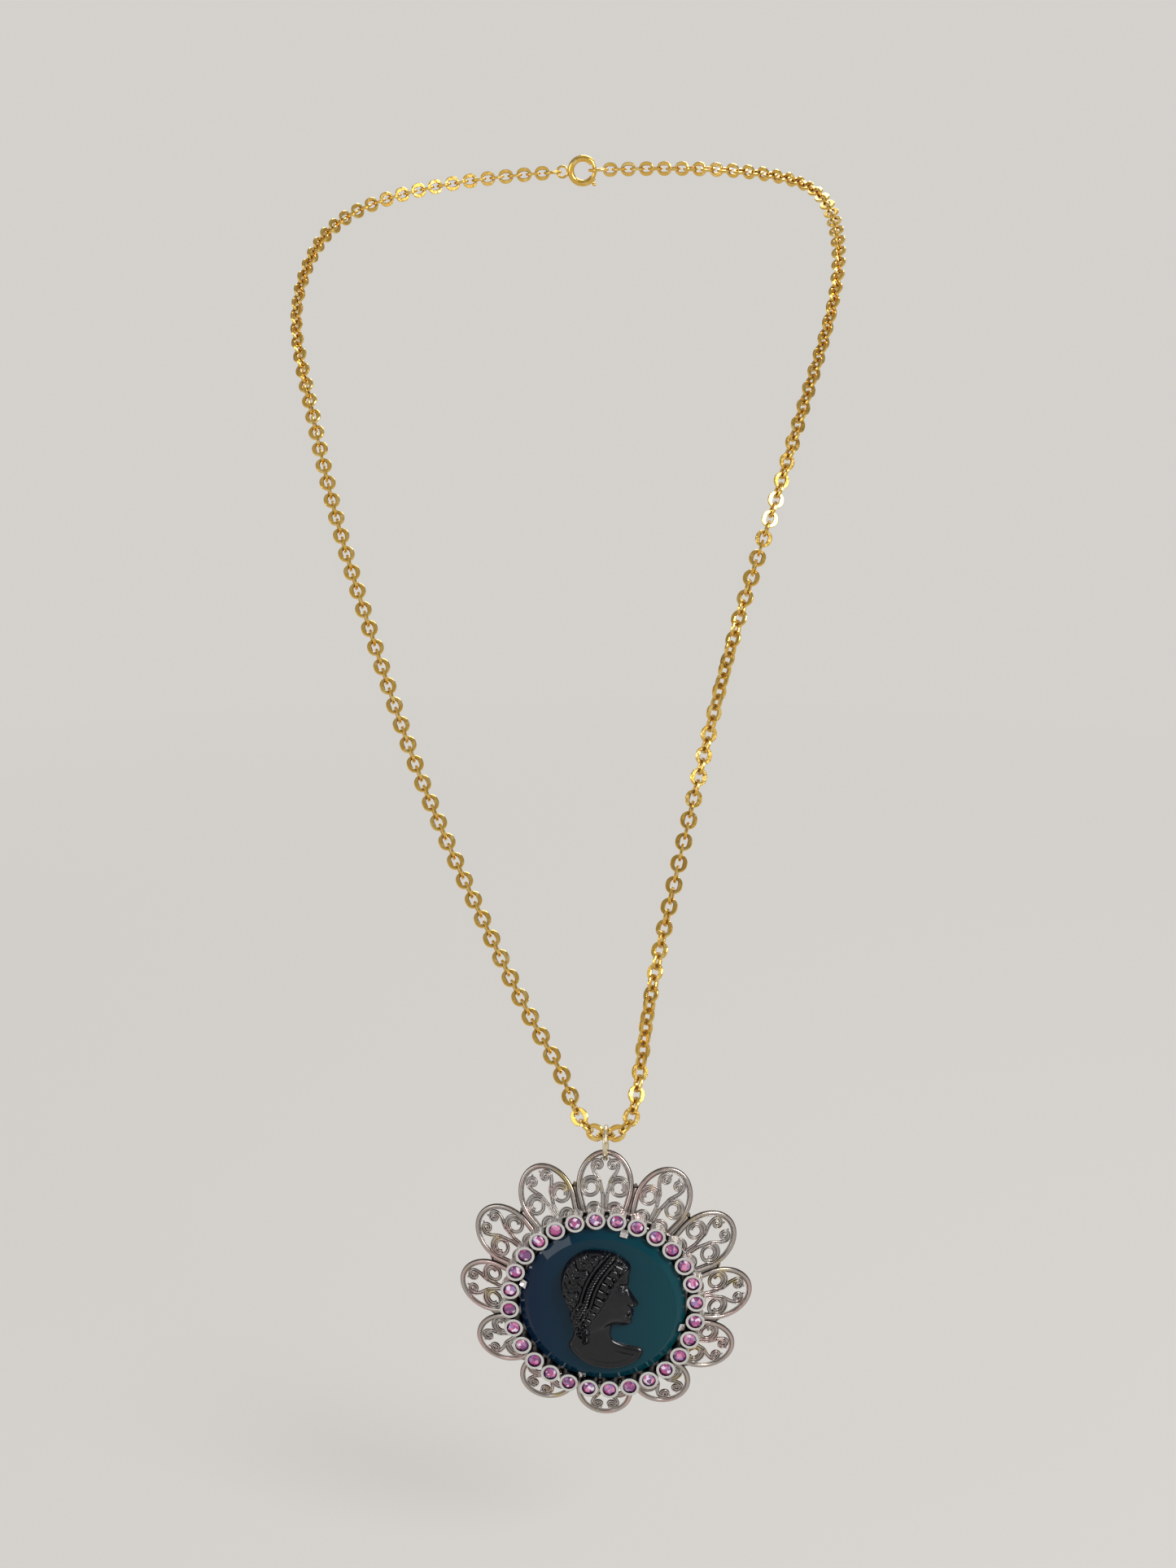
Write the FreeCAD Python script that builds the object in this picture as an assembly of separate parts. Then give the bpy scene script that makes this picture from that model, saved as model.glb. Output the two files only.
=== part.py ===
"""Pendant necklace: a flat cable chain with a spring-ring clasp carries a filigree flower pendant.

The necklace is modelled as worn. The origin is the middle of the neck opening, +Z is up, the
wearer faces -Y and the pendant hangs in front. Units are millimetres.

Two local frames are used. A flat piece (link, ring, petal) is drawn in its own XY plane, with its
long axis on X, and is then placed. The pendant is drawn around the axis of its stone: local Y runs
along that axis, away from the viewer, and local Z points from the stone to the top petal.
"""

import FreeCAD, Part
import math
import os

from FreeCAD import Matrix, Vector

X, Y, Z = Vector(1, 0, 0), Vector(0, 1, 0), Vector(0, 0, 1)

# Chain links: flat ovals, each turned a quarter turn against its neighbours.
LINK_LENGTH = 3.45
LINK_WIDTH = 3.20
LINK_SIDE_BAR = 0.90
LINK_END_BAR = 0.62
LINK_THICKNESS = 0.55
LINK_EDGE = 0.12
LINK_PLAY = 0.11
BEND_PLAY = 0.05
BEND_LINKS = 2
LINK_PITCH = LINK_LENGTH - 2 * LINK_END_BAR - LINK_PLAY

# Links on each side of the centre link, by the part of the chain that carries them.
CHEST_LINKS = (22, 22, 22, 22)
SHOULDER_LINKS = 22
NAPE_LINKS_LEFT = 22
NAPE_LINKS_RIGHT = 23

# Stone of the pendant: a round glass plate with a bevelled edge.
GLASS_RADIUS = 15.0
GLASS_TABLE_RADIUS = 13.4
GLASS_BEVEL_DEPTH = 1.2
GLASS_GIRDLE = 1.5
RELIEF_DEPTH = 2.6
RELIEF_SHRINK = 0.88

# Plate under the stone, with four claws that fold over the bevel.
PLATE_RADIUS = 17.6
PLATE_THICKNESS = 0.6
CLAW_WIDTH = 1.4
CLAW_THICKNESS = 0.4
CLAW_REACH = 1.2
CLAW_COUNT = 4
SETTING_GAP = 0.05

# Ring of small stone cups round the glass.
CUP_COUNT = 28
CUP_RADIUS = 1.72
CUP_WALL = 0.30
CUP_LIP = 0.17
CUP_LIP_HEIGHT = 0.22
CUP_FLOOR = 0.6
CUP_RISE = 0.95
CUP_PHASE = -4.3
CUP_BAR_RADIUS = 0.30
CUP_BAR_BITE = 0.15
STONE_TABLE_RADIUS = 0.80
STONE_CROWN = 0.50
STONE_GIRDLE = 0.10
STONE_PAVILION = 0.95
STONE_SIDES = 8

# Filigree petals, tilted back from a flat tab that is held between two plates.
PETAL_COUNT = 12
PETAL_ROOT_RADIUS = 13.2
PETAL_TILT = 21.0
PETAL_LENGTH = 14.7
PETAL_OVAL_LENGTH = 6.4
PETAL_HALF = 5.2
PETAL_ROOT_HALF = 3.1
PETAL_THICKNESS = 0.7
PETAL_RIM = 0.85
SCROLL_WIRE = 0.50
STEM_POINTS = ((0.5, 0.30), (3.5, 0.30), (6.6, 0.36), (9.2, 1.05), (10.5, 1.95))
CURL_CENTRE = (11.9, 1.35)
CURL_RADIUS = 1.05
CURL_END_RADIUS = 0.30
COIL_CENTRE = (7.9, 2.55)
COIL_RADIUS = 1.85
COIL_END_RADIUS = 0.85
ROOT_CURL_CENTRE = (3.9, 1.95)
ROOT_CURL_RADIUS = 1.35
ROOT_CURL_END_RADIUS = 0.45
TAB_INNER_RADIUS = 10.0
TAB_INNER_HALF = 2.3
TAB_THICKNESS = 0.6
EYE_CLEARANCE = 0.15

# Back plate with one arm behind each seam between two petals.
HUB_RADIUS = 12.8
HUB_HOLE_RADIUS = 5.0
HUB_THICKNESS = 0.7
ARM_LENGTH = 8.4
ARM_HALF = 0.85
ARM_OVERLAP = 0.9
ARM_THICKNESS = 0.6

# Jump ring that joins pendant and chain.
HANG_WIRE = 0.90
HANG_INNER_RADIUS = 2.35
HANG_SPLIT = 1.2
RING_GAP = 0.05

# Spring-ring clasp and the two rings beside it.
CLASP_RADIUS = 2.75
CLASP_TUBE_RADIUS = 0.75
CLASP_BORE_RADIUS = 0.50
CLASP_MOUTH = 34.0
BOLT_CLEARANCE = 0.05
BOLT_OVERLAP = 9.0
BOLT_TAIL = 66.0
BOLT_TRAVEL = 50.0
KNOB_ANGLE = 52.0
KNOB_STEM_RADIUS = 0.22
KNOB_STEM_LENGTH = 1.25
KNOB_HEAD_RADIUS = 0.42
SLOT_CLEARANCE = 0.06
SPRING_WIRE_RADIUS = 0.07
SPRING_TURNS = 16
SPRING_END_ANGLE = 236.0
EYE_INNER_RADIUS = 0.95
EYE_WIRE = 0.55
EYE_BITE = 0.35
END_RING_WIRE = 0.70
LEFT_RING_INNER_RADIUS = 1.40
RIGHT_RING_INNER_RADIUS = 1.70

# Depths along the stone's axis, from the front of the pendant to its back.
GLASS_BACK = GLASS_GIRDLE
PLATE_BACK = GLASS_BACK + PLATE_THICKNESS
TAB_BACK = PLATE_BACK + TAB_THICKNESS
HUB_BACK = TAB_BACK + HUB_THICKNESS

# Where the stone's centre lies when the necklace is worn.
STONE_CENTRE = Vector(15.0, -117.0, -175.0)

# Route of the chain over one side of the chest and neck, from the centre link to the nape.
RIGHT_ROUTE = (
    (17.9, -108.9, -144.7), (19.2, -108.0, -143.4), (19.8, -106.8, -141.7),
    (20.4, -104.3, -138.3), (22.0, -95.5, -126.0), (25.4, -85.0, -109.0), (30.8, -73.0, -85.0),
    (37.2, -61.3, -59.8), (43.2, -49.8, -41.0), (49.0, -36.5, -22.4),
    (53.4, -23.5, -9.0), (56.0, -8.0, 3.0), (55.3, 8.0, 11.5), (51.0, 24.0, 17.5),
)
LEFT_ROUTE = (
    (12.1, -108.9, -144.7), (10.6, -108.0, -143.5), (9.5, -106.9, -142.1),
    (7.6, -104.2, -138.6), (1.5, -97.5, -130.0), (-9.2, -86.0, -114.0), (-22.2, -71.5, -91.8),
    (-33.2, -57.0, -68.2), (-44.0, -39.5, -43.0), (-52.0, -21.0, -22.5),
    (-57.0, -5.0, -8.0), (-56.5, 9.0, 2.5), (-51.5, 25.0, 11.0),
)
# The last stretch round the nape: its depth is solved so that a whole number of links closes it.
NAPE_ROUTE = ((-40.0, 38.0, 16.0), (-20.0, 48.0, 19.5), (0.0, 51.0, 21.0), (20.0, 48.5, 21.5),
              (40.0, 38.5, 20.5))
NAPE_HOLD = 25.0

# How far the chain is rolled about its own line, in degrees, at so many links from the centre.
RIGHT_ROLL = ((0, 0), (6, 0), (18, 45), (38, 90), (50, 135), (62, 180))
LEFT_ROLL = ((0, 0), (8, -35), (70, -40), (88, 0))

# Outline of the carved head and shoulders, seen from the front, as x and z from the stone's centre.
RELIEF_OUTLINE = (
    (-2.0, 11.3), (1.5, 11.0), (3.6, 9.9), (4.9, 8.6), (5.0, 7.4), (4.75, 6.4), (4.8, 5.3),
    (4.55, 4.3), (5.1, 3.2), (5.9, 1.9), (6.45, 1.0), (6.2, 0.5), (5.45, 0.3), (5.4, -0.2),
    (5.75, -0.6), (5.4, -0.9), (5.6, -1.3), (5.1, -1.8), (5.35, -2.6), (4.7, -3.3), (3.4, -3.5),
    (2.0, -3.5), (1.5, -4.6), (1.7, -6.2), (3.8, -7.3), (6.6, -7.8), (7.3, -8.6), (6.4, -10.4),
    (4.0, -11.8), (1.0, -12.3), (-2.4, -11.6), (-4.9, -9.8), (-6.1, -7.8), (-5.4, -6.3),
    (-5.2, -4.6), (-5.9, -2.2), (-5.9, -0.4), (-6.7, 1.0), (-7.4, 3.2), (-7.3, 6.2),
    (-6.2, 8.8), (-4.2, 10.6),
)

CURVE_SAMPLES = 6000


# ---------------------------------------------------------------- helpers

def placed(shape, origin, x_axis, z_axis):
    """A copy of a shape drawn at the origin, moved so that its X and Z axes point as given."""
    zed = Vector(z_axis).normalize()
    ex = Vector(x_axis)
    ex = (ex - zed * ex.dot(zed)).normalize()
    wye = zed.cross(ex)
    matrix = Matrix(
        ex.x, wye.x, zed.x, origin.x,
        ex.y, wye.y, zed.y, origin.y,
        ex.z, wye.z, zed.z, origin.z,
        0, 0, 0, 1,
    )
    copy = shape.copy()
    copy.transformShape(matrix)
    return copy


def turned(vector, axis, degrees):
    """A vector rotated about an axis through the origin."""
    return FreeCAD.Rotation(axis, degrees).multVec(vector)


def ring_about(shape, degrees):
    """A copy turned about the stone's axis, clockwise as the viewer sees it."""
    copy = shape.copy()
    copy.rotate(Vector(0, 0, 0), Y, degrees)
    return copy


def disc(radius, front, back):
    """A round plate on the stone's axis, from one depth to another."""
    return Part.makeCylinder(radius, back - front, Vector(0, front, 0), Y)


def polygon_face(points):
    return Part.Face(Part.makePolygon(list(points) + [points[0]]))


def revolved(profile, axis_point=Vector(0, 0, 0), axis=Y):
    """A solid turned from a closed profile of radius and depth pairs, drawn in the XY plane."""
    face = polygon_face([Vector(r, depth, 0) for r, depth in profile])
    return face.revolve(axis_point, axis, 360)


def stadium(length, width):
    """A closed oval with straight sides, as long as its first value, in the XY plane."""
    r = width / 2
    half = max(length / 2 - r, 0.001)
    edges = [
        Part.LineSegment(Vector(-half, -r, 0), Vector(half, -r, 0)).toShape(),
        Part.Arc(Vector(half, -r, 0), Vector(half + r, 0, 0), Vector(half, r, 0)).toShape(),
        Part.LineSegment(Vector(half, r, 0), Vector(-half, r, 0)).toShape(),
        Part.Arc(Vector(-half, r, 0), Vector(-half - r, 0, 0), Vector(-half, -r, 0)).toShape(),
    ]
    return Part.Wire(edges)


def interpolate(knots, value):
    """The value on a broken line through pairs, held level past its ends."""
    if value <= knots[0][0]:
        return knots[0][1]
    for (a, low), (b, high) in zip(knots, knots[1:]):
        if value <= b:
            return low + (high - low) * (value - a) / (b - a)
    return knots[-1][1]


def wire_ring(inner_radius, wire, split=0.0):
    """A round-wire ring in the XY plane, with its split, if it has one, on -Y."""
    radius = inner_radius + wire / 2
    if not split:
        return Part.makeTorus(radius, wire / 2)
    ring = Part.makeTorus(radius, wire / 2, Vector(0, 0, 0), Z, -180, 180, 360 - split)
    ring.rotate(Vector(0, 0, 0), Z, -90 + split / 2)
    return ring


def export(name, shape):
    """Writes one named sub-part, and says how many solids it holds."""
    shape.exportStep("parts/" + name + ".step")
    print(f"{name}: {len(shape.Solids)} solids, {shape.Volume:.2f} mm3, valid {shape.isValid()}")


# ---------------------------------------------------------------- pendant

def glass_plate():
    return revolved((
        (0, -GLASS_BEVEL_DEPTH), (GLASS_TABLE_RADIUS, -GLASS_BEVEL_DEPTH),
        (GLASS_RADIUS, 0), (GLASS_RADIUS, GLASS_BACK), (0, GLASS_BACK),
    ))


def relief():
    """The carved head: its outline on the glass, drawn in towards a smaller front."""
    def section(scale, depth):
        points = [Vector(x * scale, depth, z * scale) for x, z in RELIEF_OUTLINE]
        curve = Part.BSplineCurve()
        curve.interpolate(Points=points, PeriodicFlag=True)
        return Part.Wire([curve.toShape()])
    front = -GLASS_BEVEL_DEPTH
    return Part.makeLoft([section(1, front), section(RELIEF_SHRINK, front - RELIEF_DEPTH)], True, True)


def claw():
    """One claw in the plane of its radius: up the glass's edge, then in along the bevel."""
    slope = Vector(GLASS_TABLE_RADIUS - GLASS_RADIUS, -GLASS_BEVEL_DEPTH, 0).normalize()
    out = Vector(-slope.y, slope.x, 0)
    heel = Vector(GLASS_RADIUS, 0, 0) + out * SETTING_GAP
    tip = heel + slope * CLAW_REACH
    wall = GLASS_RADIUS + SETTING_GAP
    outer = wall + CLAW_THICKNESS
    tip_out = tip + out * CLAW_THICKNESS
    shoulder = tip_out.y - (outer - tip_out.x) * slope.y / -slope.x
    points = [
        Vector(wall, GLASS_BACK, 0), Vector(outer, GLASS_BACK, 0), Vector(outer, shoulder, 0),
        tip_out, tip, Vector(wall, heel.y, 0),
    ]
    bar = polygon_face(points).extrude(Z * CLAW_WIDTH)
    bar.translate(Z * (-CLAW_WIDTH / 2))
    bar.rotate(Vector(0, 0, 0), Y, -90)
    return bar


def gallery_plate():
    """The plate that carries glass, cups and petals, with its claws."""
    plate = disc(PLATE_RADIUS, GLASS_BACK, PLATE_BACK)
    step = 360 / CUP_COUNT
    first = CUP_PHASE + 1.5 * step
    claws = [ring_about(claw(), first + 360 / CLAW_COUNT * i) for i in range(CLAW_COUNT)]
    return plate.multiFuse(claws)


def cup_ring_radius():
    """Radius of the circle of cup centres: the cups touch the claws' outer faces."""
    return GLASS_RADIUS + CUP_RADIUS + 0.2


def cup():
    front, back = -CUP_RISE, GLASS_BACK
    inner = CUP_RADIUS - CUP_WALL
    return revolved((
        (0, back), (CUP_RADIUS, back), (CUP_RADIUS, front), (inner - CUP_LIP, front),
        (inner, front + CUP_LIP_HEIGHT), (inner, back - CUP_FLOOR), (0, back - CUP_FLOOR),
    ))


def rhinestone():
    """A cut stone: flat table, sloping crown, narrow girdle and a deep pavilion."""
    radius = CUP_RADIUS - CUP_WALL - SETTING_GAP
    table = -CUP_RISE + SETTING_GAP
    levels = (
        (STONE_TABLE_RADIUS, table),
        (radius, table + STONE_CROWN),
        (radius, table + STONE_CROWN + STONE_GIRDLE),
        (0.06, table + STONE_CROWN + STONE_GIRDLE + STONE_PAVILION),
    )
    wires = []
    for r, depth in levels:
        corners = []
        for i in range(STONE_SIDES + 1):
            a = math.radians(360 / STONE_SIDES * i)
            corners.append(Vector(r * math.sin(a), depth, r * math.cos(a)))
        wires.append(Part.makePolygon(corners))
    return Part.makeLoft(wires, True, True)


def round_the_stone(shape, phase):
    """Copies of a piece at every cup's place, or between cups with a phase of a half."""
    step = 360 / CUP_COUNT
    shape = shape.copy()
    shape.translate(Z * cup_ring_radius())
    return [ring_about(shape, CUP_PHASE + step * (i + phase)) for i in range(CUP_COUNT)]


def cup_bar():
    """The short bar that joins two cups, biting into both walls."""
    chord = 2 * cup_ring_radius() * math.sin(math.pi / CUP_COUNT)
    length = chord - 2 * CUP_RADIUS + 2 * CUP_BAR_BITE
    sag = cup_ring_radius() * (1 - math.cos(math.pi / CUP_COUNT))
    depth = GLASS_BACK - CUP_FLOOR - CUP_BAR_RADIUS
    return Part.makeCylinder(CUP_BAR_RADIUS, length, Vector(-length / 2, depth, -sag), X)


def petal_outline(inset):
    """The petal's edge in its own plane, root at x = 0 and tip on +X, drawn in by inset.

    Two straight sides run from the root and touch a half oval at the tip.
    """
    centre = PETAL_LENGTH - PETAL_OVAL_LENGTH
    along, across = PETAL_OVAL_LENGTH - inset, PETAL_HALF - inset
    lean = math.atan2(PETAL_HALF - PETAL_ROOT_HALF, centre)
    half = PETAL_ROOT_HALF - inset / math.cos(lean) + inset * math.tan(lean)
    a, b = (inset - centre) / along, half / across
    touch = math.atan2(b, a) - math.acos(1 / math.hypot(a, b))
    oval = Part.Ellipse(Vector(centre, 0, 0), along, across)
    tip = Part.ArcOfEllipse(oval, -touch, touch)
    corners = [Vector(inset, half, 0), Vector(inset, -half, 0)]
    edges = [
        tip.toShape(),
        Part.LineSegment(tip.EndPoint, corners[0]).toShape(),
        Part.LineSegment(*corners).toShape(),
        Part.LineSegment(corners[1], tip.StartPoint).toShape(),
    ]
    return Part.Face(Part.Wire(edges))


def spiral(centre, outer, inner, start, sweep, steps=24):
    """Points on a spiral that winds from its outer to its inner radius, angles in degrees."""
    points = []
    for i in range(steps + 1):
        t = i / steps
        a = math.radians(start + sweep * t)
        r = outer + (inner - outer) * t
        points.append(Vector(centre[0] + r * math.cos(a), centre[1] + r * math.sin(a), 0))
    return points


def ribbon(points, width, thickness):
    """A flat wire of even width along points in the XY plane."""
    left, right = [], []
    for i, point in enumerate(points):
        ahead = points[min(i + 1, len(points) - 1)]
        behind = points[max(i - 1, 0)]
        along = (ahead - behind).normalize()
        side = Vector(-along.y, along.x, 0) * (width / 2)
        left.append(point + side)
        right.append(point - side)
    return polygon_face(left + right[::-1]).extrude(Z * thickness)


def scrolls():
    """One side's scrolls: a stem that ends in a curl at the tip, a big coil and a curl at the root."""
    stem = [Vector(x, y, 0) for x, y in STEM_POINTS]
    lines = [
        stem + spiral(CURL_CENTRE, CURL_RADIUS, CURL_END_RADIUS, 112, -420),
        spiral(COIL_CENTRE, COIL_RADIUS, COIL_END_RADIUS, -62, 540),
        spiral(ROOT_CURL_CENTRE, ROOT_CURL_RADIUS, ROOT_CURL_END_RADIUS, -90, 440),
    ]
    return [ribbon(line, SCROLL_WIRE, PETAL_THICKNESS) for line in lines]


def petal(eye):
    """The petal that points up: a rim filled with mirrored scrolls, and the tab behind its root.

    The petal that hangs on the jump ring has an eye for it, cut under the middle of its rim.
    """
    rim = petal_outline(0).cut(petal_outline(PETAL_RIM)).extrude(Z * PETAL_THICKNESS)
    half = scrolls()
    other = [piece.mirror(Vector(0, 0, 0), Y) for piece in half]
    panel = rim.multiFuse(half + other)
    if eye:
        length, half = HANG_WIRE + 2 * EYE_CLEARANCE, HANG_WIRE / 2 + EYE_CLEARANCE
        corner = Vector(PETAL_LENGTH - PETAL_RIM - length, -half, 0)
        panel = panel.cut(Part.makeBox(length, 2 * half, PETAL_THICKNESS, corner))
    tilt = math.radians(PETAL_TILT)
    along = Vector(0, math.sin(tilt), math.cos(tilt))
    back = Vector(0, math.cos(tilt), -math.sin(tilt))
    panel = placed(panel, Vector(0, PLATE_BACK, PETAL_ROOT_RADIUS), along, back)
    tab = polygon_face([
        Vector(-TAB_INNER_HALF, PLATE_BACK, TAB_INNER_RADIUS),
        Vector(TAB_INNER_HALF, PLATE_BACK, TAB_INNER_RADIUS),
        Vector(PETAL_ROOT_HALF, PLATE_BACK, PETAL_ROOT_RADIUS + PETAL_RIM / 2),
        Vector(-PETAL_ROOT_HALF, PLATE_BACK, PETAL_ROOT_RADIUS + PETAL_RIM / 2),
    ]).extrude(Y * TAB_THICKNESS)
    return panel.fuse(tab).removeSplitter()


def hub():
    """The back plate, with its twelve arms."""
    plate = disc(HUB_RADIUS, TAB_BACK, HUB_BACK).cut(disc(HUB_HOLE_RADIUS, TAB_BACK, HUB_BACK))
    arm = polygon_face([
        Vector(-ARM_OVERLAP, -ARM_HALF, 0), Vector(ARM_LENGTH, -ARM_HALF, 0),
        Vector(ARM_LENGTH + ARM_HALF, 0, 0),
        Vector(ARM_LENGTH, ARM_HALF, 0), Vector(-ARM_OVERLAP, ARM_HALF, 0),
    ]).extrude(Z * ARM_THICKNESS)
    tilt = math.radians(PETAL_TILT)
    along = Vector(0, math.sin(tilt), math.cos(tilt))
    back = Vector(0, math.cos(tilt), -math.sin(tilt))
    arm = placed(arm, Vector(0, TAB_BACK + SETTING_GAP, PETAL_ROOT_RADIUS), along, back)
    arm = arm.cut(disc(PLATE_RADIUS, GLASS_BACK, TAB_BACK))
    step = 360 / PETAL_COUNT
    return plate.multiFuse([ring_about(arm, step * (i + 0.5)) for i in range(PETAL_COUNT)])


def hook_point():
    """Middle of the top petal's rim, where the jump ring carries it."""
    tilt = math.radians(PETAL_TILT)
    along = PETAL_LENGTH - PETAL_RIM / 2
    deep = PETAL_THICKNESS / 2
    return Vector(
        0,
        PLATE_BACK + along * math.sin(tilt) + deep * math.cos(tilt),
        PETAL_ROOT_RADIUS + along * math.cos(tilt) - deep * math.sin(tilt),
    )


def hang_ring_centre():
    """Centre of the jump ring: the rim rests on the ring's inside, clear by the ring gap."""
    rim_corner = math.hypot(PETAL_RIM, PETAL_THICKNESS) / 2
    return hook_point() + Z * (HANG_INNER_RADIUS - rim_corner - RING_GAP)


def centre_link_point():
    """Centre of the link that the jump ring hangs on: level, its edges just under the ring."""
    drop = math.sqrt(HANG_INNER_RADIUS ** 2 - (LINK_WIDTH / 2) ** 2)
    return STONE_CENTRE + hang_ring_centre() + Z * (drop - RING_GAP - LINK_THICKNESS / 2)


def pendant_nodes():
    """Every node of the pendant, by name, in the necklace's frame."""
    nodes = {
        "glass_plate": glass_plate(),
        "cameo_relief": relief(),
        "gallery_plate": gallery_plate(),
        "stone_cups": Part.makeCompound(round_the_stone(cup(), 0)),
        "rhinestones": Part.makeCompound(round_the_stone(rhinestone(), 0)),
        "cup_bars": Part.makeCompound(round_the_stone(cup_bar(), 0.5)),
        "petal_hub": hub(),
    }
    nodes["petal_01"] = petal(True)
    plain = petal(False)
    for i in range(1, PETAL_COUNT):
        nodes[f"petal_{i + 1:02d}"] = ring_about(plain, 360 / PETAL_COUNT * i)
    for shape in nodes.values():
        shape.translate(STONE_CENTRE)
    ring = wire_ring(HANG_INNER_RADIUS, HANG_WIRE, HANG_SPLIT)
    nodes["hang_ring"] = placed(ring, STONE_CENTRE + hang_ring_centre(), Z, X)
    return nodes


# ---------------------------------------------------------------- chain

def link():
    """One flat link, its long axis on X and its faces along Z."""
    blank = Part.Face(stadium(LINK_LENGTH, LINK_WIDTH)).extrude(Z * LINK_THICKNESS)
    hole_length = LINK_LENGTH - 2 * LINK_END_BAR
    hole_width = LINK_WIDTH - 2 * LINK_SIDE_BAR
    hole = Part.Face(stadium(hole_length, hole_width)).extrude(Z * LINK_THICKNESS)
    body = blank.cut(hole)
    body.translate(Z * (-LINK_THICKNESS / 2))
    rims = [e for e in body.Edges if abs(e.BoundBox.ZMax - e.BoundBox.ZMin) < 1e-6]
    return body.makeChamfer(LINK_EDGE, rims)


def route(nape_shift):
    """The closed line of the chain, from the centre link over the right side and back on the left."""
    bottom = centre_link_point()
    nape = [(x, y + nape_shift, z) for x, y, z in reversed(NAPE_ROUTE)]
    points = [bottom] + [Vector(*p) for p in RIGHT_ROUTE] + [Vector(*p) for p in nape]
    points += [Vector(*p) for p in reversed(LEFT_ROUTE)]
    curve = Part.BSplineCurve()
    curve.interpolate(Points=points, PeriodicFlag=True)
    first, last = curve.FirstParameter, curve.LastParameter
    return [curve.value(first + (last - first) * i / CURVE_SAMPLES) for i in range(CURVE_SAMPLES + 1)]


def next_joint(line, place, origin, chord):
    """The next point on a broken line at a straight distance from origin, and its place on it."""
    i = int(place)
    while line[i + 1].distanceToPoint(origin) < chord:
        i += 1
    low, high = max(place - i, 0.0), 1.0
    for _ in range(40):
        mid = (low + high) / 2
        point = line[i] + (line[i + 1] - line[i]) * mid
        if point.distanceToPoint(origin) < chord:
            low = mid
        else:
            high = mid
    return point, i + low


def walk(line, chords):
    """Joints along a line, from half a link past its start, each one chord from the last."""
    joint, place = next_joint(line, 0.0, line[0], (LINK_PITCH - BEND_PLAY) / 2)
    joints = [joint]
    for chord in chords:
        joint, place = next_joint(line, place, joint, chord)
        joints.append(joint)
    return joints, place


def end_half(inner_radius):
    """Half the reach of a ring, from its middle to the middle of the play at its neighbour."""
    return inner_radius - RING_GAP


def clasp_reach():
    """Distances of the clasp's joints from its centre: at its eye, and inside its mouth."""
    eye = CLASP_RADIUS + CLASP_TUBE_RADIUS + EYE_WIRE + EYE_INNER_RADIUS - EYE_BITE
    return eye + EYE_INNER_RADIUS - RING_GAP, CLASP_RADIUS - CLASP_TUBE_RADIUS - RING_GAP


def side_chords():
    """Lengths between joints on the right and the left, from the centre link to the clasp's mouth.

    The links next to the centre link hang a little looser, which lets the chain bend sharply there.
    """
    shared = sum(CHEST_LINKS) + SHOULDER_LINKS - BEND_LINKS
    bend = [LINK_PITCH - BEND_PLAY] * BEND_LINKS
    right = bend + [LINK_PITCH] * (shared + NAPE_LINKS_RIGHT)
    right.append(2 * end_half(RIGHT_RING_INNER_RADIUS))
    left = bend + [LINK_PITCH] * (shared + NAPE_LINKS_LEFT)
    left += [2 * end_half(LEFT_RING_INNER_RADIUS), sum(clasp_reach())]
    return right, left


def closed_route():
    """Solves how deep the nape is, and returns the joints of the right and left sides."""
    right_chords, left_chords = side_chords()
    low, high = -NAPE_HOLD, NAPE_HOLD
    for _ in range(36):
        shift = (low + high) / 2
        line = route(shift)
        right, right_place = walk(line, right_chords)
        left, left_place = walk(line[::-1], left_chords)
        if right_place + left_place < CURVE_SAMPLES:
            high = shift
        else:
            low = shift
    return right, left


def frames(joints, sideways, roll, count):
    """Centre, direction and rolled facing of each element between two joints.

    The facing starts at the viewer and is carried along without twist; the roll is added to it,
    and it eases over the last part of the chain so that link number count faces outwards.
    """
    plain = []
    facing = -Y
    for a, b in zip(joints, joints[1:]):
        along = (b - a).normalize()
        facing = (facing - along * facing.dot(along)).normalize()
        plain.append(((a + b) / 2, along, facing))
    along, facing = plain[count - 1][1:]
    wanted = Y if count % 2 else along.cross(Y)
    wanted = (wanted - along * wanted.dot(along)).normalize()
    end = math.degrees(math.atan2(facing.cross(wanted).dot(along), facing.dot(wanted)))
    while end - sideways * roll[-1][1] > 90:
        end -= 180
    while end - sideways * roll[-1][1] < -90:
        end += 180
    knots = [(k, sideways * angle) for k, angle in roll] + [(count, end)]
    return [
        (centre, along, turned(facing, along, interpolate(knots, k + 1)))
        for k, (centre, along, facing) in enumerate(plain)
    ]


def place_links(template, placings, first, last):
    """Links number first to last on one side, as one compound of separate solids."""
    solids = []
    for k in range(first, last + 1):
        centre, along, facing = placings[k - 1]
        face = facing if k % 2 else along.cross(facing)
        solids.append(placed(template, centre, along, face))
    return Part.makeCompound(solids)


def chain_nodes(right, left, right_joints, left_joints):
    """Groups of links by name, and the lines that the chain bends about."""
    template = link()
    nodes = {"centre_link": placed(template, centre_link_point(), X, Z)}
    counts = list(CHEST_LINKS)[::-1]
    names = [f"chest_{len(counts) - i}" for i in range(len(counts))]
    counts += [SHOULDER_LINKS]
    names += ["shoulder"]
    for side, placings, nape in (("right", right, NAPE_LINKS_RIGHT), ("left", left, NAPE_LINKS_LEFT)):
        first = 1
        for name, count in zip(names + ["nape"], counts + [nape]):
            nodes[f"{name}_links_{side}"] = place_links(template, placings, first, first + count - 1)
            first += count
    lines = {}
    passed = 0
    for name, count in zip(names, counts):
        passed += count
        lines[name] = (left_joints[passed], right_joints[passed])
    return nodes, lines


# ---------------------------------------------------------------- clasp

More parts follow.
